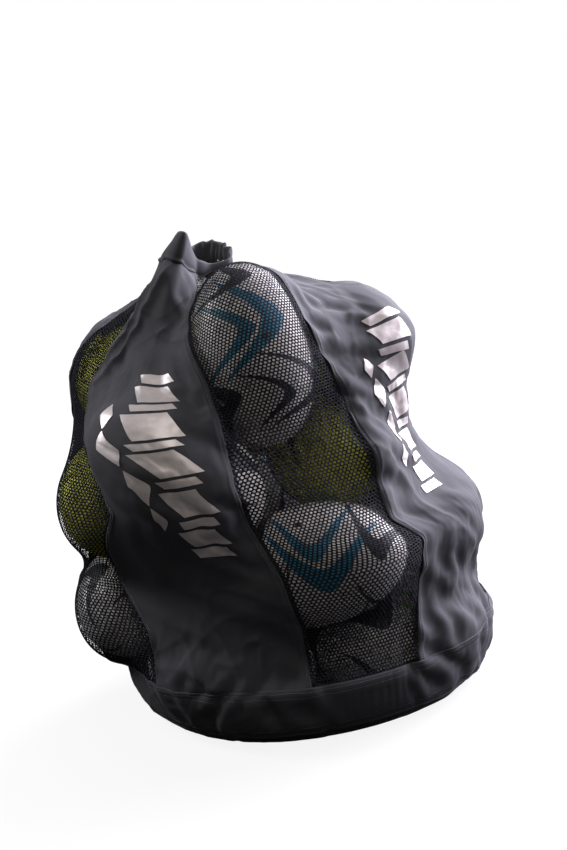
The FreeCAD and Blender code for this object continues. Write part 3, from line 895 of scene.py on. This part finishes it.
def net_panel(name):
    s = sizes()
    start, end, width, run = panel_measure(name, 90)
    across, up = round(width / s.net_pitch), int(run[-1] / s.net_row) + 2
    crest, holes, ring, inner = net_cells(across, up)

    def place(flat, offset):
        height = np.clip(flat[:, 1] * s.net_row - 0.006, -0.006, run[-1])
        rows = BAND_ROWS + np.interp(height, run, np.arange(len(run))) + np.minimum(height, 0) / 0.006
        return on_cloth(rows, start + flat[:, 0] / across * (end - start), offset)

    half = s.net_thickness / 2
    verts = np.concatenate([place(crest, half), place(crest, -half), place(holes, 0.0)])
    n = len(crest)
    a, b = ring, np.roll(ring, -1, 1)
    c, d = 2 * n + inner, 2 * n + np.roll(inner, -1, 1)
    top = np.stack([a, c, d, b], -1).reshape(-1, 4)
    under = np.stack([a + n, b + n, d, c], -1).reshape(-1, 4)
    pairs = np.stack([a.ravel(), b.ravel()], -1)
    _, first, uses = np.unique(np.sort(pairs, -1), axis=0, return_index=True, return_counts=True)
    e, f = pairs[first[uses == 1]].T
    rim = np.stack([e, f, f + n, e + n], -1)
    faces = np.concatenate([top, under, rim])[:, ::-1]
    add_piece("net_" + name, verts, faces, net_yarn(), BAG, (name,), "net")


class BALLBAG_OT_coated_panels(bpy.types.Operator):
    """Makes the four coated cloth panels with their folded edges and the grooves for their stitching."""
    bl_idname = "ball_bag.coated_panels"
    bl_label = "Coated panels"

    def execute(self, context):
        for seed, name in enumerate(NYLONS):
            coated_panel(name, 40 + seed)
        return {"FINISHED"}


class BALLBAG_OT_net_panels(bpy.types.Operator):
    """Makes the four net panels as open knitted net."""
    bl_idname = "ball_bag.net_panels"
    bl_label = "Net panels"

    def execute(self, context):
        for name in NETS:
            net_panel(name)
        return {"FINISHED"}


class BALLBAG_OT_base_band(bpy.types.Operator):
    """Makes the coated band round the base with its bottom."""
    bl_idname = "ball_bag.base_band"
    bl_label = "Base band"

    def execute(self, context):
        total = cloth()["points"].shape[1]
        columns = np.arange(0, total, 0.6)
        rows = np.concatenate([fine_rows(0, BAND_ROWS - 0.6, 0.4),
                               BAND_ROWS + np.array([-0.3, 0, 0.25, 0.45, 0.6])])
        top = rows[-1]
        fold = 0.0026 - 0.0006 * np.exp(-((rows - top) / 0.12) ** 2)
        for stitch in (0.75, 1.75):
            fold = fold - 0.0005 * np.exp(-((top - stitch - rows) / 0.16) ** 2)
        offset = (fold * np.clip(rows / 2, 0, 1))[:, None] + 0 * columns[None, :]
        outer = on_cloth(rows[:, None], columns[None, :], offset)
        outer[..., 2] = np.maximum(outer[..., 2], 0)
        inner = on_cloth(rows[:, None], columns[None, :], offset - sizes().cloth)
        inner[..., 2] = np.maximum(inner[..., 2], sizes().cloth)
        add_piece("cloth_base_band", *slab(outer, inner, closed=True), coated_nylon(), BAG, ("base_band",),
                  "coated_nylon")
        shares = np.linspace(0.02, 0.998, 16)[:, None, None]
        floor = outer[0] * shares
        lining = floor + np.array([0, 0, sizes().cloth])
        add_piece("cloth_base_bottom", *slab(floor, lining, closed=True), coated_nylon(), BAG, (),
                  "coated_nylon")
        return {"FINISHED"}


class BALLBAG_OT_piping(bpy.types.Operator):
    """Makes the piping round the bottom of the band."""
    bl_idname = "ball_bag.piping"
    bl_label = "Piping"

    def execute(self, context):
        total = cloth()["points"].shape[1]
        columns = np.arange(0, total, 0.5)
        turn = np.linspace(0, 2 * np.pi, 10, endpoint=False)
        row = 6.2
        ring = on_cloth(row, columns, 0.0022)
        normal = unit(sample(cloth()["normals"], np.full(columns.shape, row), columns))
        ahead = unit(np.roll(ring, -1, 0) - np.roll(ring, 1, 0))
        up = np.cross(normal, ahead)
        section = (normal[:, None] * (np.cos(turn) * 0.0016)[None, :, None]
                   + up[:, None] * (np.sin(turn) * 0.0021)[None, :, None])
        points, faces = tube(ring[:, None] + section)
        add_piece("piping_base", points, faces, coated_nylon(), BAG, ("base_piping",), "piping")
        return {"FINISHED"}


def mouth_surface():
    """Seam and rim points of the hem at every fine column, with folds, and its outward normals."""
    points, normals = cloth()["points"], cloth()["normals"]
    columns = points.shape[1]
    height = side_rows(1)[2][-1]
    seam, rim = (ring * MM for ring in mouth_ring(column_angles([height], 1)[0] % 360))
    middle = seam.mean(0)
    out = seam - middle
    out[:, 2] = 0
    out = unit(out)
    turn = np.linspace(0, 2 * np.pi, columns, endpoint=False)
    wander = soft_noise((columns, 1), (12, 1), 9)[:, 0]
    calm = 1 - 0.7 * np.exp(-((np.arange(columns) - columns + 24) / 26.0) ** 2)
    fold = np.cos(11 * turn + 1.2 * wander) * calm
    rim = rim + out * (0.0034 * fold)[:, None]
    rim[:, 2] += 0.0016 * np.cos(7 * turn + wander) * calm
    side = unit(np.roll(rim, -1, 0) - np.roll(rim, 1, 0))
    normal = unit(np.cross(side, unit(rim - points[-1])))
    return points[-1], rim, unit(0.6 * normal + 0.4 * out)


# Section of the hem: share of the way from its seam to its rim, and millimetres outwards.
HEM_SECTION = ((-0.06, 1.2), (0.0, 3.0), (0.06, 2.6), (0.10, 1.6), (0.16, 2.4), (0.35, 3.2), (0.6, 3.0),
               (0.85, 2.2), (0.97, 1.2), (1.0, 0.0), (0.97, -1.2), (0.85, -2.2), (0.5, -3.0), (0.2, -2.2),
               (0.08, -1.2), (0.0, -0.9), (-0.06, 0.2))
# Section of an eyelet's ring: radius and millimetres outwards, and where the two stand in degrees.
EYELET_SECTION = ((3.5, -1.0), (3.5, 0.6), (4.2, 1.3), (5.4, 1.5), (6.4, 1.1), (6.5, 0.5), (4.4, 0.3),
                  (4.2, -1.0))
EYELETS = (171, 189)


class BALLBAG_OT_mouth_hem(bpy.types.Operator):
    """Makes the hem of the mouth with its drawcord tunnel, and the eyelets."""
    bl_idname = "ball_bag.mouth_hem"
    bl_label = "Mouth hem"

    def execute(self, context):
        seam, rim, normal = mouth_surface()
        shares, depth = np.array(HEM_SECTION).T[:, None, :, None]
        depth = depth * MM
        ring = seam[:, None] * (1 - shares) + rim[:, None] * shares + normal[:, None] * depth
        points, faces = tube(ring)
        add_piece("hem_mouth", points, faces, coated_nylon(), BAG, ("mouth_hem",), "coated_nylon")
        self.eyelets(seam, rim, normal)
        return {"FINISHED"}

    def eyelets(self, seam, rim, normal):
        """Two rolled rings through the outer layer of the hem, at the back."""
        angles = column_angles([side_rows(1)[2][-1]], 1)[0] % 360
        points, faces, count = [], [], 0
        turn = np.linspace(0, 2 * np.pi, 32, endpoint=False)
        for angle in EYELETS:
            k = int(np.argmin(abs(angles - angle)))
            middle = seam[k] * 0.45 + rim[k] * 0.55 + normal[k] * 3.2 * MM
            up = unit(rim[k] - seam[k])
            side = unit(np.cross(up, normal[k]))
            up = np.cross(normal[k], side)
            ring = [middle + (side * math.cos(t) + up * math.sin(t)) * r * MM + normal[k] * d * MM
                    for t in turn for r, d in EYELET_SECTION]
            part, quads = tube(np.array(ring).reshape(len(turn), len(EYELET_SECTION), 3))
            points.append(part)
            faces.append(quads + count)
            count += len(part)
        add_piece("eyelets_mouth", np.concatenate(points), np.concatenate(faces), nickel(), BAG,
                  ("hem_eyelets",), "eyelet")


def stitches(paths, pitch, offset):
    """Small raised stitches along paths of cloth rows and columns."""
    points, faces, count = [], [], 0
    shape = np.array([(-1, 0, 0.2), (0, -1, 0.3), (1, 0, 0.2), (0, 1, 0.3), (0, 0, 1), (0, 0, -1)], float)
    sides = np.array([(0, 1, 4), (1, 2, 4), (2, 3, 4), (3, 0, 4), (1, 0, 5), (2, 1, 5), (3, 2, 5), (0, 3, 5)])
    for rows, columns in paths:
        rows, columns = np.broadcast_arrays(np.asarray(rows, float), np.asarray(columns, float))
        line = on_cloth(rows, columns, offset)
        run = np.concatenate([[0], np.cumsum(np.linalg.norm(np.diff(line, axis=0), axis=-1))])
        at = np.arange(pitch / 2, run[-1], pitch)
        rows, columns = np.interp(at, run, rows), np.interp(at, run, columns)
        middle = on_cloth(rows, columns, offset)
        normal = unit(sample(cloth()["normals"], rows, columns))
        ahead = unit(np.gradient(middle, axis=0))
        side = np.cross(normal, ahead)
        body = (middle[:, None] + ahead[:, None] * shape[None, :, :1] * pitch * 0.40
                + side[:, None] * shape[None, :, 1:2] * 0.00045
                + normal[:, None] * shape[None, :, 2:] * 0.0004)
        points.append(body.reshape(-1, 3))
        faces.append((np.arange(len(at))[:, None, None] * 6 + sides + count).reshape(-1, 3))
        count += len(at) * 6
    return np.concatenate(points), np.concatenate(faces)


class BALLBAG_OT_stitching(bpy.types.Operator):
    """Makes the rows of stitches along the panels, the band and the base."""
    bl_idname = "ball_bag.stitching"
    bl_label = "Stitching"

    def execute(self, context):
        s = sizes()
        total, top = cloth()["points"].shape[1], cloth()["points"].shape[0] - 1
        paths = []
        for name in NYLONS:
            columns, away = edge_columns(name)
            inset = int(np.argmin(abs(away[:len(away) // 2] - s.stitch_inset)))
            rows = np.linspace(BAND_ROWS + 0.8, top - 0.5, 500)
            for column in (columns[inset], columns[len(columns) - 1 - inset]):
                paths.append((rows, column))
        add_piece("stitches_panels", *stitches(paths, s.stitch_pitch, 0.0014), sewing_thread(), BAG)
        round_it = np.linspace(0, total, 1200)
        band = [(BAND_ROWS - 0.15, round_it), (BAND_ROWS - 1.15, round_it)]
        add_piece("stitches_band", *stitches(band, s.stitch_pitch, 0.0023), sewing_thread(), BAG)
        base = [(4.6, round_it), (7.8, round_it)]
        add_piece("stitches_base", *stitches(base, s.stitch_pitch, 0.0028), sewing_thread(), BAG)
        return {"FINISHED"}


class BALLBAG_OT_inner_tapes(bpy.types.Operator):
    """Makes the tapes over the seams inside, and finishes the stiff sheet."""
    bl_idname = "ball_bag.inner_tapes"
    bl_label = "Inner tapes"

    def execute(self, context):
        points = cloth()["points"]
        top = points.shape[0] - 1
        rows = fine_rows(BAND_ROWS + 0.5, top - 1, 1.0)
        for name, left, _ in PANELS:
            start, end, width, _ = panel_measure(name)
            reach = np.array([-6.0, -5.6, -2, 0, 2, 5.6, 6.0]) * MM / width * (end - start)
            lift = np.array([0.0002, 0, 0, 0, 0, 0, 0.0002])
            outer = on_cloth(rows[:, None], start + reach[None, :], (-0.0008 - lift)[None, :])
            inner = on_cloth(rows[:, None], start + reach[None, :], (-0.0015 + lift)[None, :])
            add_piece("tape_" + left, *slab(outer, inner), binding_tape(), BAG, ("seam_tape_" + left,),
                      "binding_tape")
        columns = np.arange(0, points.shape[1], 1.0)
        rows = BAND_ROWS + np.array([-1.2, -1.1, 0, 0.9, 1.0])
        outer = on_cloth(rows[:, None], columns[None, :], -0.0009)
        inner = on_cloth(rows[:, None], columns[None, :], -0.0016)
        add_piece("tape_band", *slab(outer, inner, closed=True), binding_tape(), BAG, ("band_seam_tape",),
                  "binding_tape")
        finish_node("base_sheet", stiff_sheet())
        return {"FINISHED"}


def finish_node(node, material):
    """Gives a CAD node that stays in sight its finish."""
    part = frame["nodes"][node]
    part.data.materials.clear()
    part.data.materials.append(material)


def print_strip(name, middle_line, widths, lean):
    """A printed strip on a panel: its middle line and widths in metres, from the seam and the band."""
    start, end, width, run = panel_measure(name)
    line = np.array(middle_line, float)
    count = max(6, int(np.linalg.norm(np.diff(line, axis=0), axis=-1).sum() / 0.0025))
    t = np.linspace(0, len(line) - 1, count)
    k = np.minimum(t.astype(int), len(line) - 2)
    f = (t - k)[:, None]
    padded_line = np.concatenate([[2 * line[0] - line[1]], line, [2 * line[-1] - line[-2]]])
    w = weights(f)
    centre = sum(padded_line[k + i] * w[i] for i in range(4))
    half = np.interp(t, np.arange(len(widths)), widths) / 2
    ahead = unit(np.gradient(centre, axis=0))
    side = np.stack([-ahead[:, 1], ahead[:, 0]], -1)
    if lean is not None:
        side = unit(np.array([lean] * count, float))
    steps = np.linspace(-1, 1, 2 * max(2, round(max(widths) / 0.005)) + 1)
    flat = centre[:, None] + side[:, None] * (half[:, None] * steps[None, :])[..., None]
    rows = BAND_ROWS + np.interp(flat[..., 1], run, np.arange(len(run)))
    columns = start + flat[..., 0] / width * (end - start)
    return on_cloth(rows, columns, 0.0019)


# The print in metres: lines across and up a panel, heights of its bars from below, and the diamonds' places
# along the line with their heights.
PRINTS = {
    "front_left_nylon": (((0.200, 0.225), (0.196, 0.40), (0.190, 0.575)), 1.0),
    "front_right_nylon": (((0.128, 0.245), (0.134, 0.371), (0.125, 0.462), (0.146, 0.53)), 0.80),
}
BARS = (0.018, 0.034, 0.014, 0.042, 0.014, 0.050, 0.014, 0.042, 0.014, 0.034, 0.018)
BAR_WIDTH, BAR_SLANT = 0.058, 0.22
DIAMONDS = ((0.24, 0.034), (0.40, 0.050), (0.60, 0.050), (0.76, 0.034))
DIAMOND_AWAY = 0.060


class BALLBAG_OT_print(bpy.types.Operator):
    """Prints plain slanted bars and diamonds on the two front coated panels."""
    bl_idname = "ball_bag.print"
    bl_label = "Print"

    def execute(self, context):
        for panel, (line, size) in PRINTS.items():
            self.motif(panel, line, size)
        return {"FINISHED"}

    def at(self, place, run, line):
        """The point of a line at a length along it."""
        return np.array([np.interp(place, run, line[:, i]) for i in (0, 1)])

    def motif(self, panel, line, size):
        """A ladder of slanted bars, broad and narrow by turns, with a row of diamonds beside it."""
        line = np.array(line, float)
        run = np.concatenate([[0], np.cumsum(np.linalg.norm(np.diff(line, axis=0), axis=-1))])
        heights = size * np.array(BARS)
        gap = (run[-1] - heights.sum()) / (len(heights) - 1)
        strips, place = [], 0.0
        for height in heights:
            low, high = self.at(place, run, line), self.at(place + height, run, line)
            ahead = unit(high - low)
            shift = np.array([-ahead[1], ahead[0]]) * BAR_SLANT * height
            strips.append(((low - shift, high + shift), (BAR_WIDTH * size,) * 2, (ahead[1], -ahead[0])))
            place += height + gap
        ahead = unit(line[-1] - line[0])
        side = np.array([-ahead[1], ahead[0]])
        for share, tall in DIAMONDS:
            middle = self.at(run[-1] * share, run, line) + side * DIAMOND_AWAY * size
            reach = ahead * tall * size * 0.62
            strips.append(((middle - reach, middle, middle + reach), (0.001, 0.7 * tall * size, 0.001), None))
        points, faces, count = [], [], 0
        for path, widths, lean in strips:
            grid = print_strip(panel, path, widths, lean)
            points.append(grid.reshape(-1, 3))
            faces.append(grid_faces(*grid.shape[:2], start=count))
            count += points[-1].shape[0]
        add_piece("print_" + panel, np.concatenate(points), np.concatenate(faces), silver_print(), BAG)


# The cut of each piece of cloth in metres: its widest, its longest, its area and the pieces sewn to it.
CUTS = {
    "cloth_front_left_nylon": (0.34, 0.77, 0.168, ("print_front_left_nylon", "stitches_panels", "hem_mouth",
                                                   "eyelets_mouth")),
    "cloth_front_right_nylon": (0.29, 0.80, 0.169, ("print_front_right_nylon",)),
    "cloth_back_right_nylon": (0.28, 0.73, 0.148, ()),
    "cloth_back_left_nylon": (0.31, 0.71, 0.152, ()),
    "net_front_mesh": (0.25, 0.81, 0.141, ("tape_front_left", "tape_front_right")),
    "net_right_mesh": (0.18, 0.80, 0.081, ("tape_right_front", "tape_right_back")),
    "net_back_mesh": (0.19, 0.70, 0.098, ("tape_back_right", "tape_back_left")),
    "net_left_mesh": (0.25, 0.77, 0.105, ("tape_left_back", "tape_left_front")),
}


class BALLBAG_OT_cloth_sizes(bpy.types.Operator):
    """Goes through the cut of each piece of cloth and takes a net's holes off its area; the result is not
    kept.
    """
    bl_idname = "ball_bag.cloth_sizes"
    bl_label = "Cloth sizes"

    def execute(self, context):
        for name, (width, length, area, sewn) in CUTS.items():
            if name.startswith("net"):     # less its holes
                area *= 1 - sizes().net_hole ** 2
        return {"FINISHED"}


# ---- Balls ---------------------------------------------------------------------------------------
def ball_grid():
    """Rings of a ball about its long axis, with grooves between its four panels."""
    deep = sizes().seam_groove
    near = np.array([0.35, 0.75, 1.2, 1.8, 2.8])
    seams = 45 + 90 * np.arange(4)
    fine = np.concatenate([[s] + list(s + near) + list(s - near) for s in seams])
    plain = [a for a in np.arange(0, 360, 4.0) if min(abs((a - seams + 180) % 360 - 180)) > 3.4]
    angles = np.sort(np.concatenate([plain, fine]))
    lengths = np.linspace(0, np.pi, 74)[1:-1]
    t, phi = np.meshgrid(lengths, np.radians(angles), indexing="ij")
    radius = BALL_DIAMETER / 2 * MM * np.sin(t)
    away = np.min([abs((np.degrees(phi) - s + 180) % 360 - 180) for s in seams], 0)
    gap = np.radians(away) * radius
    tip = np.clip((radius - 0.006) / 0.006, 0, 1)
    radius = radius - deep * np.exp(-(gap / 0.0015) ** 2) * tip - 0.0004 * (1 - tip)
    x = BALL_LENGTH / 2 * MM * np.cos(t)
    points = np.stack([x, radius * -np.sin(phi), radius * np.cos(phi)], -1)
    return points, angles / 360, (np.cos(t[:, 0]) + 1) / 2


def ball_mesh_parts():
    """Points, faces and face-corner map coordinates of one ball."""
    grid, turns, lengths = ball_grid()
    rows, columns = grid.shape[:2]
    points = np.concatenate([grid.reshape(-1, 3), [[BALL_LENGTH / 2 * MM - 0.0004, 0, 0],
                                                   [-BALL_LENGTH / 2 * MM + 0.0004, 0, 0]]])
    quads = grid_faces(rows, columns, closed=True)
    j, k = np.meshgrid(np.arange(rows - 1), np.arange(columns), indexing="ij")
    j, k = j.ravel(), k.ravel()
    nxt = np.where(k + 1 == columns, turns[0] + 1, turns[(k + 1) % columns])
    low, high = lengths[j], lengths[j + 1]
    quad_uv = np.stack([turns[k], low, nxt, low, nxt, high, turns[k], high], -1)
    faces, uv = quads.tolist(), [quad_uv.reshape(-1, 2)]
    last = (rows - 1) * columns
    for k in range(columns):
        n = (k + 1) % columns
        following = turns[n] + (1 if n == 0 else 0)
        faces.append([rows * columns, n, k])
        uv.append([[turns[k], 1], [following, lengths[0]], [turns[k], lengths[0]]])
        faces.append([rows * columns + 1, last + k, last + n])
        uv.append([[turns[k], 0], [turns[k], lengths[-1]], [following, lengths[-1]]])
    return points, faces, np.concatenate([np.asarray(u, float).reshape(-1, 2) for u in uv])


def ball_turn(name, middle, axis):
    """Axes of a ball's own frame: long axis, and the valve's direction from the bladder's stem."""
    node = frame["nodes"]["bladder_" + name]
    co = np.empty(len(node.data.vertices) * 3)
    node.data.vertices.foreach_get("co", co)
    w = co.reshape(-1, 3) - middle
    x = w @ axis
    across = w - x[:, None] * axis
    r = np.where(abs(x) < 0.006, np.linalg.norm(across, axis=-1), 0)
    near = r > r.max() - 0.0003
    up = unit(across[near].mean(0))
    return np.stack([axis, np.cross(up, axis), up], -1)


def valve_points():
    """A rubber valve as a shallow dish with a needle hole, about Z from its middle."""
    profile = ((0.0009, -0.0012), (0.0009, 0.0001), (0.0016, 0.0003), (0.0040, 0.0004), (0.0047, 0.0002),
               (0.0047, -0.0014))
    turn = np.linspace(0, 2 * np.pi, 28, endpoint=False)
    ring = [[(r * math.cos(t), r * math.sin(t), z) for r, z in profile] for t in turn]
    return tube(np.array(ring))


SCHEMES = {
    "bottom_front_right": "green", "bottom_front_left": "orange", "bottom_left": "orange",
    "bottom_right": "teal", "bottom_back": "yellow", "middle_front": "teal", "middle_right": "orange",
    "middle_back": "teal",
    "middle_left": "yellow", "upper_left": "yellow", "upper_right": "lime", "upper_front": "black",
    "upper_back": "orange", "top_front": "teal", "top_right": "yellow",
}


def cover_material(scheme):
    c = colours()
    white, yellow, black = tuple(c.white), tuple(c.yellow), tuple(c.black)
    teal, green, orange, red = tuple(c.teal), tuple(c.green), tuple(c.orange), tuple(c.red)
    marks = {
        "teal": (white, [(teal, 3, 0.10, 0.55, 0.60, 0.30, 0.095), (teal, 3, 0.33, 0.60, 0.56, 0.25, 0.070),
                         (black, 3, 0.25, 0.9, 0.88, 0.17, 0.13), (black, 3, 0.62, 0.8, 0.24, 0.20, 0.11),
                         (black, 4, 0.90, 0.7, 0.20, 0.15, 0.09)]),
        "black": (white, [(black, 4, 0.10, 0.8, 0.74, 0.22, 0.17), (black, 4, 0.42, 0.9, 0.68, 0.17, 0.10),
                          (black, 4, 0.35, -0.8, 0.24, 0.22, 0.16)]),
        "green": (white, [(green, 4, 0.20, 0.6, 0.62, 0.28, 0.10), (green, 4, 0.44, 0.6, 0.60, 0.22, 0.06),
                          (black, 4, 0.50, 0.9, 0.28, 0.24, 0.15)]),
        "orange": (white, [(orange, 4, 0.15, 0.5, 0.62, 0.28, 0.11),
                           (black, 4, 0.60, 0.8, 0.24, 0.22, 0.15)]),
        "yellow": (yellow, [(red, 4, 0.15, 0.5, 0.60, 0.30, 0.14), (black, 4, 0.60, 0.8, 0.26, 0.22, 0.15)]),
        "lime": (yellow, [(black, 4, 0.15, 0.6, 0.56, 0.30, 0.13), (red, 4, 0.62, 0.5, 0.75, 0.22, 0.12)]),
    }[scheme]
    return ball_cover("cover_" + scheme, *marks)


SPIN = {"top_front": 0.1, "middle_front": 0.3}


class BALLBAG_OT_balls(bpy.types.Operator):
    """Makes the balls' pebbled covers and their valves."""
    bl_idname = "ball_bag.balls"
    bl_label = "Balls"

    def execute(self, context):
        points, faces, uv = ball_mesh_parts()
        valve, valve_faces = valve_points()
        for joint in frame["joints"]:
            name = joint["child"][len("ball_"):]
            middle, axis = np.array(joint["pos_m"]), unit(np.array(joint["axis"]))
            turn = ball_turn(name, middle, axis)
            turned = uv + np.array([SPIN.get(name, 0.0), 0])
            scheme = SCHEMES[name]
            slot = "cover_yellow" if name in ("middle_left", "upper_left", "upper_right") else "cover_white"
            add_piece("ball_" + name, points @ turn.T + middle, faces, cover_material(scheme), joint["child"],
                      ("cover_" + name,), slot, turned)
            seat = middle + turn[:, 2] * BALL_DIAMETER / 2 * MM
            add_piece("valve_" + name, valve @ turn.T + seat, valve_faces, bladder_rubber(), joint["child"],
                      slot="bladder")
            finish_node("bladder_" + name, bladder_rubber())
        return {"FINISHED"}


# ---- Stage ---------------------------------------------------------------------------------------
# Lamps: name, place, aim, width and height in metres, watts and colour.
LAMPS = (
    ("light_right", (2.3, 1.0, 1.3), (0.1, 0, 0.40), (2.2, 2.0), 300, (0.89, 0.86, 1.0)),
    ("light_back", (1.55, 1.6, 2.1), (0.1, 0, 0.5), (1.9, 2.0), 270, (0.89, 0.86, 1.0)),
    ("light_left", (-2.3, 0.75, 2.0), (0, 0, 0.5), (0.7, 1.1), 80, (0.93, 0.93, 1.0)),
    ("light_top", (-0.1, -1.0, 3.0), (0, 0, 0.3), (1.2, 1.0), 24, (1.0, 0.96, 0.92)),
    ("light_front", (0.45, -2.0, 1.8), (0, 0, 0.3), (0.9, 0.7), 9, (1.0, 0.95, 0.90)),
)


def area_light(name, place, aim, size, watts, tone):
    light = bpy.data.lights.new(name, "AREA")
    light.shape = "RECTANGLE"
    light.size, light.size_y = size
    light.energy = watts
    light.color = tone
    lamp = bpy.data.objects.new(name, light)
    lamp.location = place
    lamp.rotation_euler = (Vector(aim) - Vector(place)).to_track_quat("-Z", "Y").to_euler()
    bpy.context.scene.collection.objects.link(lamp)


class BALLBAG_OT_stage(bpy.types.Operator):
    """Makes the pale floor, the studio light and the camera."""
    bl_idname = "ball_bag.stage"
    bl_label = "Stage"

    def execute(self, context):
        self.floor()
        self.world()
        for lamp in LAMPS:
            area_light(*lamp)
        self.camera()
        context.scene.view_settings.view_transform = "Standard"
        return {"FINISHED"}

    def floor(self):
        turn = np.linspace(0, 2 * np.pi, 64, endpoint=False)
        rim = [(6 * math.cos(t), 6 * math.sin(t), -0.0005) for t in turn]
        mesh = bpy.data.meshes.new("floor")
        mesh.from_pydata(rim, [], [list(range(len(rim)))])
        material, nodes, shader = new_material("floor_paper", (0.035, 0.035, 0.035), 0.9)
        shader.inputs["Emission Color"].default_value = (1, 1, 1, 1)
        path = nodes.new("ShaderNodeLightPath")
        away = nodes.new("ShaderNodeVectorMath")
        away.operation = "LENGTH"
        link(material, coords(material), away.inputs[0])
        paper = ramp(material, away.outputs["Value"], 0.35, 1.1, 0.88, 1.0)
        glow = math_node(material, "MULTIPLY", path.outputs["Is Camera Ray"], paper)
        link(material, glow, shader.inputs["Emission Strength"])
        mesh.materials.append(material)
        floor = bpy.data.objects.new("floor", mesh)
        bpy.context.scene.collection.objects.link(floor)

    def world(self):
        """White to the camera, and a dim room for everything else, less dim behind the bag."""
        world = bpy.data.worlds.new("studio")
        bpy.context.scene.world = world
        world.use_nodes = True
        nodes, links = world.node_tree.nodes, world.node_tree.links
        background = nodes["Background"]
        background.inputs["Color"].default_value = (1, 1, 1, 1)
        place = nodes.new("ShaderNodeTexCoord")
        split = nodes.new("ShaderNodeSeparateXYZ")
        links.new(place.outputs["Generated"], split.inputs[0])
        dim = nodes.new("ShaderNodeMapRange")
        dim.interpolation_type = "SMOOTHSTEP"
        dim.inputs["From Min"].default_value = -0.3
        dim.inputs["From Max"].default_value = 0.9
        dim.inputs["To Min"].default_value = 0.05
        dim.inputs["To Max"].default_value = 0.16
        links.new(split.outputs["Y"], dim.inputs["Value"])
        path = nodes.new("ShaderNodeLightPath")
        mix = nodes.new("ShaderNodeMix")
        mix.data_type = "FLOAT"
        links.new(path.outputs["Is Camera Ray"], mix.inputs["Factor"])
        links.new(dim.outputs["Result"], mix.inputs[2])
        mix.inputs[3].default_value = 1.0
        links.new(mix.outputs[0], background.inputs["Strength"])

    def camera(self):
        data = bpy.data.cameras.new("camera")
        data.lens, data.sensor_width, data.sensor_fit = 68.4, 36.0, "AUTO"
        camera = bpy.data.objects.new("camera", data)
        fall, roll = math.radians(13.3), math.radians(9.0)
        ahead = Vector((0, math.cos(fall), -math.sin(fall)))
        level = Vector((1, 0, 0))
        above = level.cross(ahead)
        right = level * math.cos(roll) - above * math.sin(roll)
        up = above * math.cos(roll) + level * math.sin(roll)
        turn = Matrix((right, up, -ahead)).transposed().to_4x4()
        camera.matrix_world = Matrix.Translation((0.0104, -2.4095, 0.9768)) @ turn
        bpy.context.scene.collection.objects.link(camera)
        bpy.context.scene.camera = camera


# ---- Add-on --------------------------------------------------------------------------------------
STEPS = (BALLBAG_OT_coated_panels, BALLBAG_OT_net_panels, BALLBAG_OT_base_band, BALLBAG_OT_piping,
         BALLBAG_OT_mouth_hem, BALLBAG_OT_stitching, BALLBAG_OT_inner_tapes, BALLBAG_OT_print,
         BALLBAG_OT_cloth_sizes, BALLBAG_OT_balls, BALLBAG_OT_stage)


class BALLBAG_PT_sidebar(bpy.types.Panel):
    """Sizes, colours and steps of the ball bag."""
    bl_idname = "BALLBAG_PT_sidebar"
    bl_label = "Ball Bag"
    bl_space_type = "VIEW_3D"
    bl_region_type = "UI"
    bl_category = "Ball Bag"

    def draw(self, context):
        for group in (context.scene.ball_bag_sizes, context.scene.ball_bag_colours):
            box = self.layout.box()
            for name in group.__annotations__:
                box.prop(group, name)
        for step in STEPS:
            self.layout.operator(step.bl_idname)


CLASSES = (BagSizes, BagColours, *STEPS, BALLBAG_PT_sidebar)


def register():
    for item in CLASSES:
        bpy.utils.register_class(item)
    bpy.types.Scene.ball_bag_sizes = bpy.props.PointerProperty(type=BagSizes)
    bpy.types.Scene.ball_bag_colours = bpy.props.PointerProperty(type=BagColours)


def unregister():
    del bpy.types.Scene.ball_bag_colours
    del bpy.types.Scene.ball_bag_sizes
    for item in reversed(CLASSES):
        bpy.utils.unregister_class(item)


def main():
    """Runs every step in order."""
    register()
    for item in [o for o in bpy.data.objects if o.name in ("Cube", "Light", "Camera")]:
        bpy.data.objects.remove(item)
    bpy.ops.ball_bag.coated_panels()
    bpy.ops.ball_bag.net_panels()
    bpy.ops.ball_bag.base_band()
    bpy.ops.ball_bag.piping()
    bpy.ops.ball_bag.mouth_hem()
    bpy.ops.ball_bag.stitching()
    bpy.ops.ball_bag.inner_tapes()
    bpy.ops.ball_bag.print()
    bpy.ops.ball_bag.cloth_sizes()
    bpy.ops.ball_bag.balls()
    bpy.ops.ball_bag.stage()


if __name__ == "__main__":
    main()
